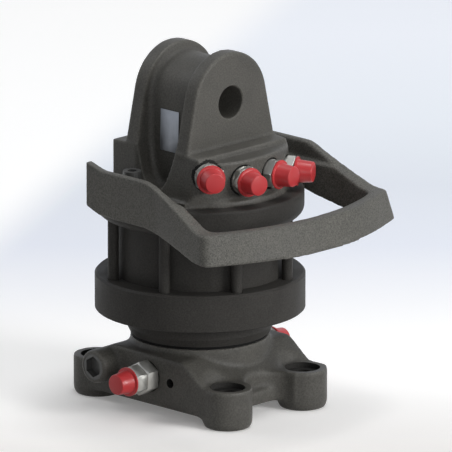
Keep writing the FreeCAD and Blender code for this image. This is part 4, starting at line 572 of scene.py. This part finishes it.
head_bores = bmesh.new()
add_turned(head_bores, [
    (0, BELOW), (RECESS, BELOW), (RECESS, RECESS_TOP), (BUSH_SEAT, RECESS_TOP), (BUSH_SEAT, BUSH_TOP),
    (SWIVEL_BORE, BUSH_TOP), (SWIVEL_BORE, SWIVEL_TOP), (0, SWIVEL_TOP),
])
add_turned(head_bores, [
    (GROOVE_INNER, BELOW), (GROOVE_OUTER, BELOW), (GROOVE_OUTER, GROOVE_TOP), (GROOVE_INNER, GROOVE_TOP),
    (GROOVE_INNER, BELOW),
])
for x, y in TIE_BOLTS:
    add_cylinder(head_bores, (x, y, BELOW), (0, 0, 1), SCREW_HOLE, 25, segments=32)
for x, y in GUARD_SCREWS:
    add_cylinder(head_bores, (x, y, 188), (0, 0, 1), SCREW_HOLE, 20, segments=32)
head = cut_away(head, head_bores)
head_ports = bmesh.new()
add_turned(head_ports, [
    (0, -46), (PIN_BORE + PIN_CHAMFER, -46), (PIN_BORE + PIN_CHAMFER, -EAR_FACE - PIN_CHAMFER),
    (PIN_BORE, -EAR_FACE), (PIN_BORE, EAR_FACE),
    (PIN_BORE + PIN_CHAMFER, EAR_FACE + PIN_CHAMFER), (PIN_BORE + PIN_CHAMFER, 46), (0, 46),
], (0, 0, PIN_Z), (0, 1, 0), 96)
for turn, height in PORTS:
    add_turned(head_ports, [
        (0, 0), (SPOTFACE, 0), (SPOTFACE, PORT_TOOL - SEAT), (PORT_BORE, PORT_TOOL - SEAT),
        (PORT_BORE, PORT_TOOL + 14.0 - SEAT), (0, PORT_TOOL + 14.0 - SEAT),
    ], port_place(turn, PORT_TOOL, height), inwards(turn), 96)
head = cut_away(head, head_ports)
head_piece = place_piece("head_body", head, body_paint, "stator", "cast_body", "head_casting")


def in_spotface(place):
    for turn, height in PORTS:
        x, y, _ = port_way(turn)
        reach = place.x * x + (place.y - ARC_CENTRE) * y
        beside = place.x * y - (place.y - ARC_CENTRE) * x
        if reach > 70.0 and math.hypot(beside, place.z - height) < SPOTFACE + 0.01:
            return True
    return False


# Painted shade: the drum is painted darker, the spotfaces black
paint_faces(head_piece, lambda place: place.z < DRUM_SHADE_TOP, turned_paint)
paint_faces(head_piece, in_spotface, bore_painted_shade_black)

# %% [markdown]
# ## Hose guard
# The guard is a rougher casting than the rest, a loop with a heavy foot at each screw. All its edges are
# well rounded, so the whole skin is smoothed, and only the two screw holes are drilled.

# %% Hose guard
guard = welded_copy("hose_guard")
for x, y in GUARD_SCREWS:
    add_cylinder(guard, (x, y, 203.02), (0, 0, 1), 6.1, 8.96)
guard = through_modifier(guard, "REMESH", mode="VOXEL", voxel_size=HEAD_VOXEL * MM)
keep_largest(guard)
smooth_where(guard, 9, lambda place: True)
GUARD_HOLE = 5.5
guard_holes = bmesh.new()
for x, y in GUARD_SCREWS:
    add_cylinder(guard_holes, (x, y, 195.0), (0, 0, 1), GUARD_HOLE, 25.0)
guard = cut_away(guard, guard_holes)
place_piece("guard_body", guard, guard_paint, "stator", "cast_body", "hose_guard")

# %% [markdown]
# ## Port adapters
# An adapter's hexagon is chamfered at its outer face by a cone of 30 degrees. The tool is a ring spun round
# the port's axis. Each hexagon is given by its width across flats, its outer face's distance from the seat,
# and the room above it that the tool may take. A lower adapter has two hexagons, one behind the other.

# %% Port adapters
CHAMFER = math.tan(math.radians(30))


def chamfer_hexagons(name, start, direction, body, hexagons):
    shape = welded_copy(name)
    cutter = bmesh.new()
    for flats, top, room in hexagons:
        inner = flats / 2 - 0.25
        outer = flats / math.sqrt(3) + 1.0
        drop = (outer - inner) * CHAMFER
        add_turned(cutter, [(inner, top), (outer, top - drop), (outer, top + room), (inner, top + room),
                            (inner, top)], start, direction, 72)
    shape = cut_away(shape, cutter)
    place_piece(name + "_hex", shape, zinc, body, "zinc_steel", name)


def lower_port(side):
    return LOWER_SEAT * side, PORT_Y * side, PORT_Z


for number, (turn, height) in enumerate(PORTS, start=1):
    chamfer_hexagons(f"upper_adapter_{number}", port_place(turn, SEAT, height), port_way(turn), "stator",
                     [(24.0, 9.4, 0.6)])
for number, side in enumerate((-1, 1), start=1):
    chamfer_hexagons(f"lower_adapter_{number}", lower_port(side), (side, 0, 0), "rotor",
                     [(27.0, 14.0, 0.02), (24.0, 26.0, 0.6)])

# %% [markdown]
# ## Caps
# The caps are moulded in one piece, a thin flange with a tapered cup, so one profile is spun into a closed
# shell with a wall, a floor and a small round at each edge. Each cap rides on its own body and comes off.

# %% Caps
UPPER_CAP_SEAT = 9.5
LOWER_CAP_SEAT = 26.1
CAP = [
    (8.35, 0), (12.95, 0), (13.2, 0.25), (13.2, 1.3), (12.9, 1.6), (11.2, 1.65), (10.75, 1.85), (10.5, 2.3),
    (9.25, 15.0), (9.05, 15.5), (8.7, 15.85), (8.2, 16.0), (0, 16.0), (0, 14.0), (8.35, 14.0), (8.35, 0),
]


def moulded_cap(name, start, direction):
    shape = bmesh.new()
    add_turned(shape, CAP, start, direction, 96)
    place_piece(name + "_moulded", shape, red_plastic, name + "_body", "red_cap", name)


for number, (turn, height) in enumerate(PORTS, start=1):
    moulded_cap(f"upper_cap_{number}", port_place(turn, SEAT + UPPER_CAP_SEAT, height), port_way(turn))
for number, side in enumerate((-1, 1), start=1):
    x, y, z = lower_port(side)
    moulded_cap(f"lower_cap_{number}", (x + LOWER_CAP_SEAT * side, y, z), (side, 0, 0))

# %% [markdown]
# ## Rating plate
# A thin plate of bare aluminium lies on the web between the ears. It is a cube that is scaled in its mesh
# and then bevelled, and it leans a little, as the web's hollow side does.

# %% Rating plate
PLATE_SIZE = (0.8, 23.0, 38.0)
PLATE_PLACE = (-38.75, 0, 256.5)
plate_finish = cloudy_finish("plate_aluminium", (0.27, 0.285, 0.31), 0.45, 0.9)
plate = bmesh.new()
bmesh.ops.create_cube(plate, size=1.0, matrix=Matrix.Diagonal((*(size * MM for size in PLATE_SIZE), 1.0)))
bmesh.ops.bevel(plate, geom=plate.edges[:], offset=0.3 * MM, affect="EDGES", segments=2, profile=0.5,
                material=-1)
lean = Matrix.Translation(Vector(PLATE_PLACE) * MM) @ Matrix.Rotation(math.radians(1.5), 4, "Y")
bmesh.ops.transform(plate, matrix=lean, verts=plate.verts)
place_piece("rating_plate", plate, plate_finish, "stator", "zinc_steel")

# %% [markdown]
# ## Floor
# The rotator stands on a pale studio floor, a wide disc that fills the whole background.

# %% Floor disc
FLOOR_RADIUS = 2.4
floor_shape = bmesh.new()
bmesh.ops.create_circle(floor_shape, cap_ends=True, segments=96, radius=FLOOR_RADIUS)
floor_mesh = bpy.data.meshes.new("floor")
floor_shape.to_mesh(floor_mesh)
floor_shape.free()
floor = bpy.data.objects.new("floor", floor_mesh)
bpy.context.scene.collection.objects.link(floor)
print("floor disc in metres:", FLOOR_RADIUS * 2)

# %% [markdown]
# The paper's tone changes over the floor, so its material needs to know the place on it. Two distances in
# metres do that, each a dot product of the Object coordinates with a fixed direction on the floor. One
# direction runs away from the photographer's place and one across.

# %% Distances on the floor
AWAY = (-math.sin(azimuth), math.cos(azimuth), 0.0)
ACROSS = (math.cos(azimuth), math.sin(azimuth), 0.0)
paper, paper_tree, paper_shader = start_material("studio_paper", (0.50, 0.50, 0.51), 0.9)
paper_place = paper_tree.nodes.new("ShaderNodeTexCoord")


def distance_along(direction):
    dot = paper_tree.nodes.new("ShaderNodeVectorMath")
    dot.operation = "DOT_PRODUCT"
    paper_tree.links.new(paper_place.outputs["Object"], dot.inputs[0])
    dot.inputs[1].default_value = direction
    return dot.outputs["Value"]


def math_node(tree, operation, first, second, third=None):
    node = tree.nodes.new("ShaderNodeMath")
    node.operation = operation
    for socket, value in zip(node.inputs, (first, second, third)):
        if isinstance(value, (int, float)):
            socket.default_value = value
        elif value is not None:
            tree.links.new(value, socket)
    return node.outputs["Value"]


depth = distance_along(AWAY)
shift = distance_along(ACROSS)
print("the floor's directions:", [round(value, 2) for value in AWAY + ACROSS])

# %% [markdown]
# From front to back the tone drifts from a warm white to a pale blue. Far to the left it goes back to white,
# as it does on a lit paper sweep. The ramp takes the depth as a share between 0 and 1.

# %% Paper tone
BANDS = [
    (0.02, (0.85, 0.835, 0.82)), (0.14, (1.0, 0.995, 0.99)), (0.27, (0.95, 0.95, 0.95)),
    (0.34, (0.87, 0.88, 0.91)), (0.46, (0.745, 0.775, 0.85)), (0.60, (0.715, 0.75, 0.815)),
    (0.76, (0.79, 0.83, 0.89)), (0.97, (0.857, 0.887, 0.95)),
]
share = math_node(paper_tree, "MULTIPLY_ADD", depth, 0.625, 0.125)
drift = paper_tree.nodes.new("ShaderNodeValToRGB")
while len(drift.color_ramp.elements) < len(BANDS):
    drift.color_ramp.elements.new(0.5)
for element, (position, colour) in zip(drift.color_ramp.elements, BANDS):
    element.position = position
    element.color = (*colour, 1.0)
paper_tree.links.new(share, drift.inputs["Fac"])
leftwards = math_node(paper_tree, "MULTIPLY", shift, -1.0)
corner = math_node(paper_tree, "MULTIPLY_ADD", depth, 0.29, leftwards)
white_share = ramp_between(paper_tree, corner, grey(0.0), grey(1.0), (0.315, 0.40))
white_share.color_ramp.interpolation = "EASE"
tone = paper_tree.nodes.new("ShaderNodeMix")
tone.data_type = "RGBA"
tone.inputs["B"].default_value = (1.0, 1.0, 1.0, 1.0)
paper_tree.links.new(white_share.outputs["Color"], tone.inputs["Factor"])
paper_tree.links.new(drift.outputs["Color"], tone.inputs["A"])
print("bands of tone on the paper:", len(BANDS))

# %% [markdown]
# The paper shines a little by its own light, more so far away, so that the shadow stays soft and pale.
# Towards its rim the disc fades to the backdrop's colour, so that no edge shows behind the object.

# %% Paper's light and rim
BACKDROP = (0.78, 0.81, 0.87)
OWN_LIGHT = 0.16
FAR_LIGHT = 0.16
FADE = (0.63, 0.94)
glow = add_node(paper_tree, "ShaderNodeEmission")
own_light = math_node(paper_tree, "MULTIPLY_ADD", share, FAR_LIGHT, OWN_LIGHT)
paper_tree.links.new(own_light, glow.inputs["Strength"])
paper_tree.links.new(tone.outputs["Result"], glow.inputs["Color"])
lit = add_node(paper_tree, "ShaderNodeBsdfDiffuse", Roughness=0.0)
paper_tree.links.new(tone.outputs["Result"], lit.inputs["Color"])
seen = paper_tree.nodes.new("ShaderNodeAddShader")
paper_tree.links.new(glow.outputs["Emission"], seen.inputs[0])
paper_tree.links.new(lit.outputs["BSDF"], seen.inputs[1])
from_centre = paper_tree.nodes.new("ShaderNodeVectorMath")
from_centre.operation = "LENGTH"
paper_tree.links.new(paper_place.outputs["Object"], from_centre.inputs[0])
outwards = math_node(paper_tree, "DIVIDE", from_centre.outputs["Value"], FLOOR_RADIUS)
rim_share = ramp_between(paper_tree, outwards, grey(0.0), grey(1.0), FADE)
rim_glow = add_node(paper_tree, "ShaderNodeEmission", Strength=1.0)
rim_glow.inputs["Color"].default_value = (*BACKDROP, 1.0)
faded = paper_tree.nodes.new("ShaderNodeMixShader")
paper_tree.links.new(rim_share.outputs["Color"], faded.inputs["Fac"])
paper_tree.links.new(seen.outputs["Shader"], faded.inputs[1])
paper_tree.links.new(rim_glow.outputs["Emission"], faded.inputs[2])
print("fade to the backdrop starts at", round(FADE[0] * FLOOR_RADIUS, 2), "m")

# %% [markdown]
# Only camera, glossy and transmission rays see that paper. The light that bounces onto the object comes from
# a plain grey one, so the bright background shows in the object's gloss but does not light it up.

# %% What the rays see of the paper


def watched_rays(tree):
    rays = tree.nodes.new("ShaderNodeLightPath")
    either = math_node(tree, "MAXIMUM", rays.outputs["Is Camera Ray"], rays.outputs["Is Glossy Ray"])
    return math_node(tree, "MAXIMUM", either, rays.outputs["Is Transmission Ray"])


choice = paper_tree.nodes.new("ShaderNodeMixShader")
paper_tree.links.new(watched_rays(paper_tree), choice.inputs["Fac"])
paper_tree.links.new(paper_shader.outputs["BSDF"], choice.inputs[1])
paper_tree.links.new(faded.outputs["Shader"], choice.inputs[2])
paper_tree.links.new(choice.outputs["Shader"], paper_tree.nodes["Material Output"].inputs["Surface"])
floor_mesh.materials.append(paper)
print("nodes in the paper:", len(paper_tree.nodes))

# %% [markdown]
# ## Light
# The world is a dim sky that is brighter overhead, which fills the shadows a little. Camera, glossy and
# transmission rays see an even, pale backdrop instead of it.

# %% World
SKY_STRENGTH = 0.25
world = bpy.data.worlds.new("studio")
world.use_nodes = True
sky = world.node_tree
sky_place = sky.nodes.new("ShaderNodeTexCoord")
sky_axes = sky.nodes.new("ShaderNodeSeparateXYZ")
sky.links.new(sky_place.outputs["Generated"], sky_axes.inputs["Vector"])
sky_ramp = ramp_between(sky, sky_axes.outputs["Z"], grey(0.15), (0.95, 0.97, 1.0), (0.0, 0.85))
sky_light = sky.nodes["Background"]
sky_light.inputs["Strength"].default_value = SKY_STRENGTH
sky.links.new(sky_ramp.outputs["Color"], sky_light.inputs["Color"])
backdrop = add_node(sky, "ShaderNodeBackground", Strength=1.0)
backdrop.inputs["Color"].default_value = (*BACKDROP, 1.0)
sky_choice = sky.nodes.new("ShaderNodeMixShader")
sky.links.new(watched_rays(sky), sky_choice.inputs["Fac"])
sky.links.new(sky_light.outputs["Background"], sky_choice.inputs[1])
sky.links.new(backdrop.outputs["Background"], sky_choice.inputs[2])
sky.links.new(sky_choice.outputs["Shader"], sky.nodes["World Output"].inputs["Surface"])
bpy.context.scene.world = world
print("sky strength:", SKY_STRENGTH)

# %% [markdown]
# The key is one big soft lamp, low and right in front of the ports, so the faces that look that way are the
# light ones. A weak lamp beside the camera fills the shadows, one overhead lifts the top faces, and one
# behind draws the rims. All of them are discs that look at the middle of the picture from the same distance.

# %% Lamps
LAMP_DISTANCE = 3.0


def soft_lamp(name, direction, size, power):
    lamp_data = bpy.data.lights.new(name, "AREA")
    lamp_data.shape = "DISK"
    lamp_data.size = size
    lamp_data.energy = power
    lamp = bpy.data.objects.new(name, lamp_data)
    spot = middle + Vector(direction).normalized() * LAMP_DISTANCE
    lamp.location = spot
    lamp.rotation_mode = "QUATERNION"
    lamp.rotation_quaternion = (middle - spot).to_track_quat("-Z", "Y")
    bpy.context.scene.collection.objects.link(lamp)
    print(name, "watts:", power)


soft_lamp("key", (0.22, -1.0, 0.30), size=1.2, power=62.0)
soft_lamp("viewer_fill", (-0.62, -0.85, 0.22), size=1.4, power=12.0)
soft_lamp("overhead", (0.15, -0.1, 1.0), size=1.4, power=36.0)
soft_lamp("back_rim", (-0.35, 0.75, 0.75), size=1.4, power=14.0)
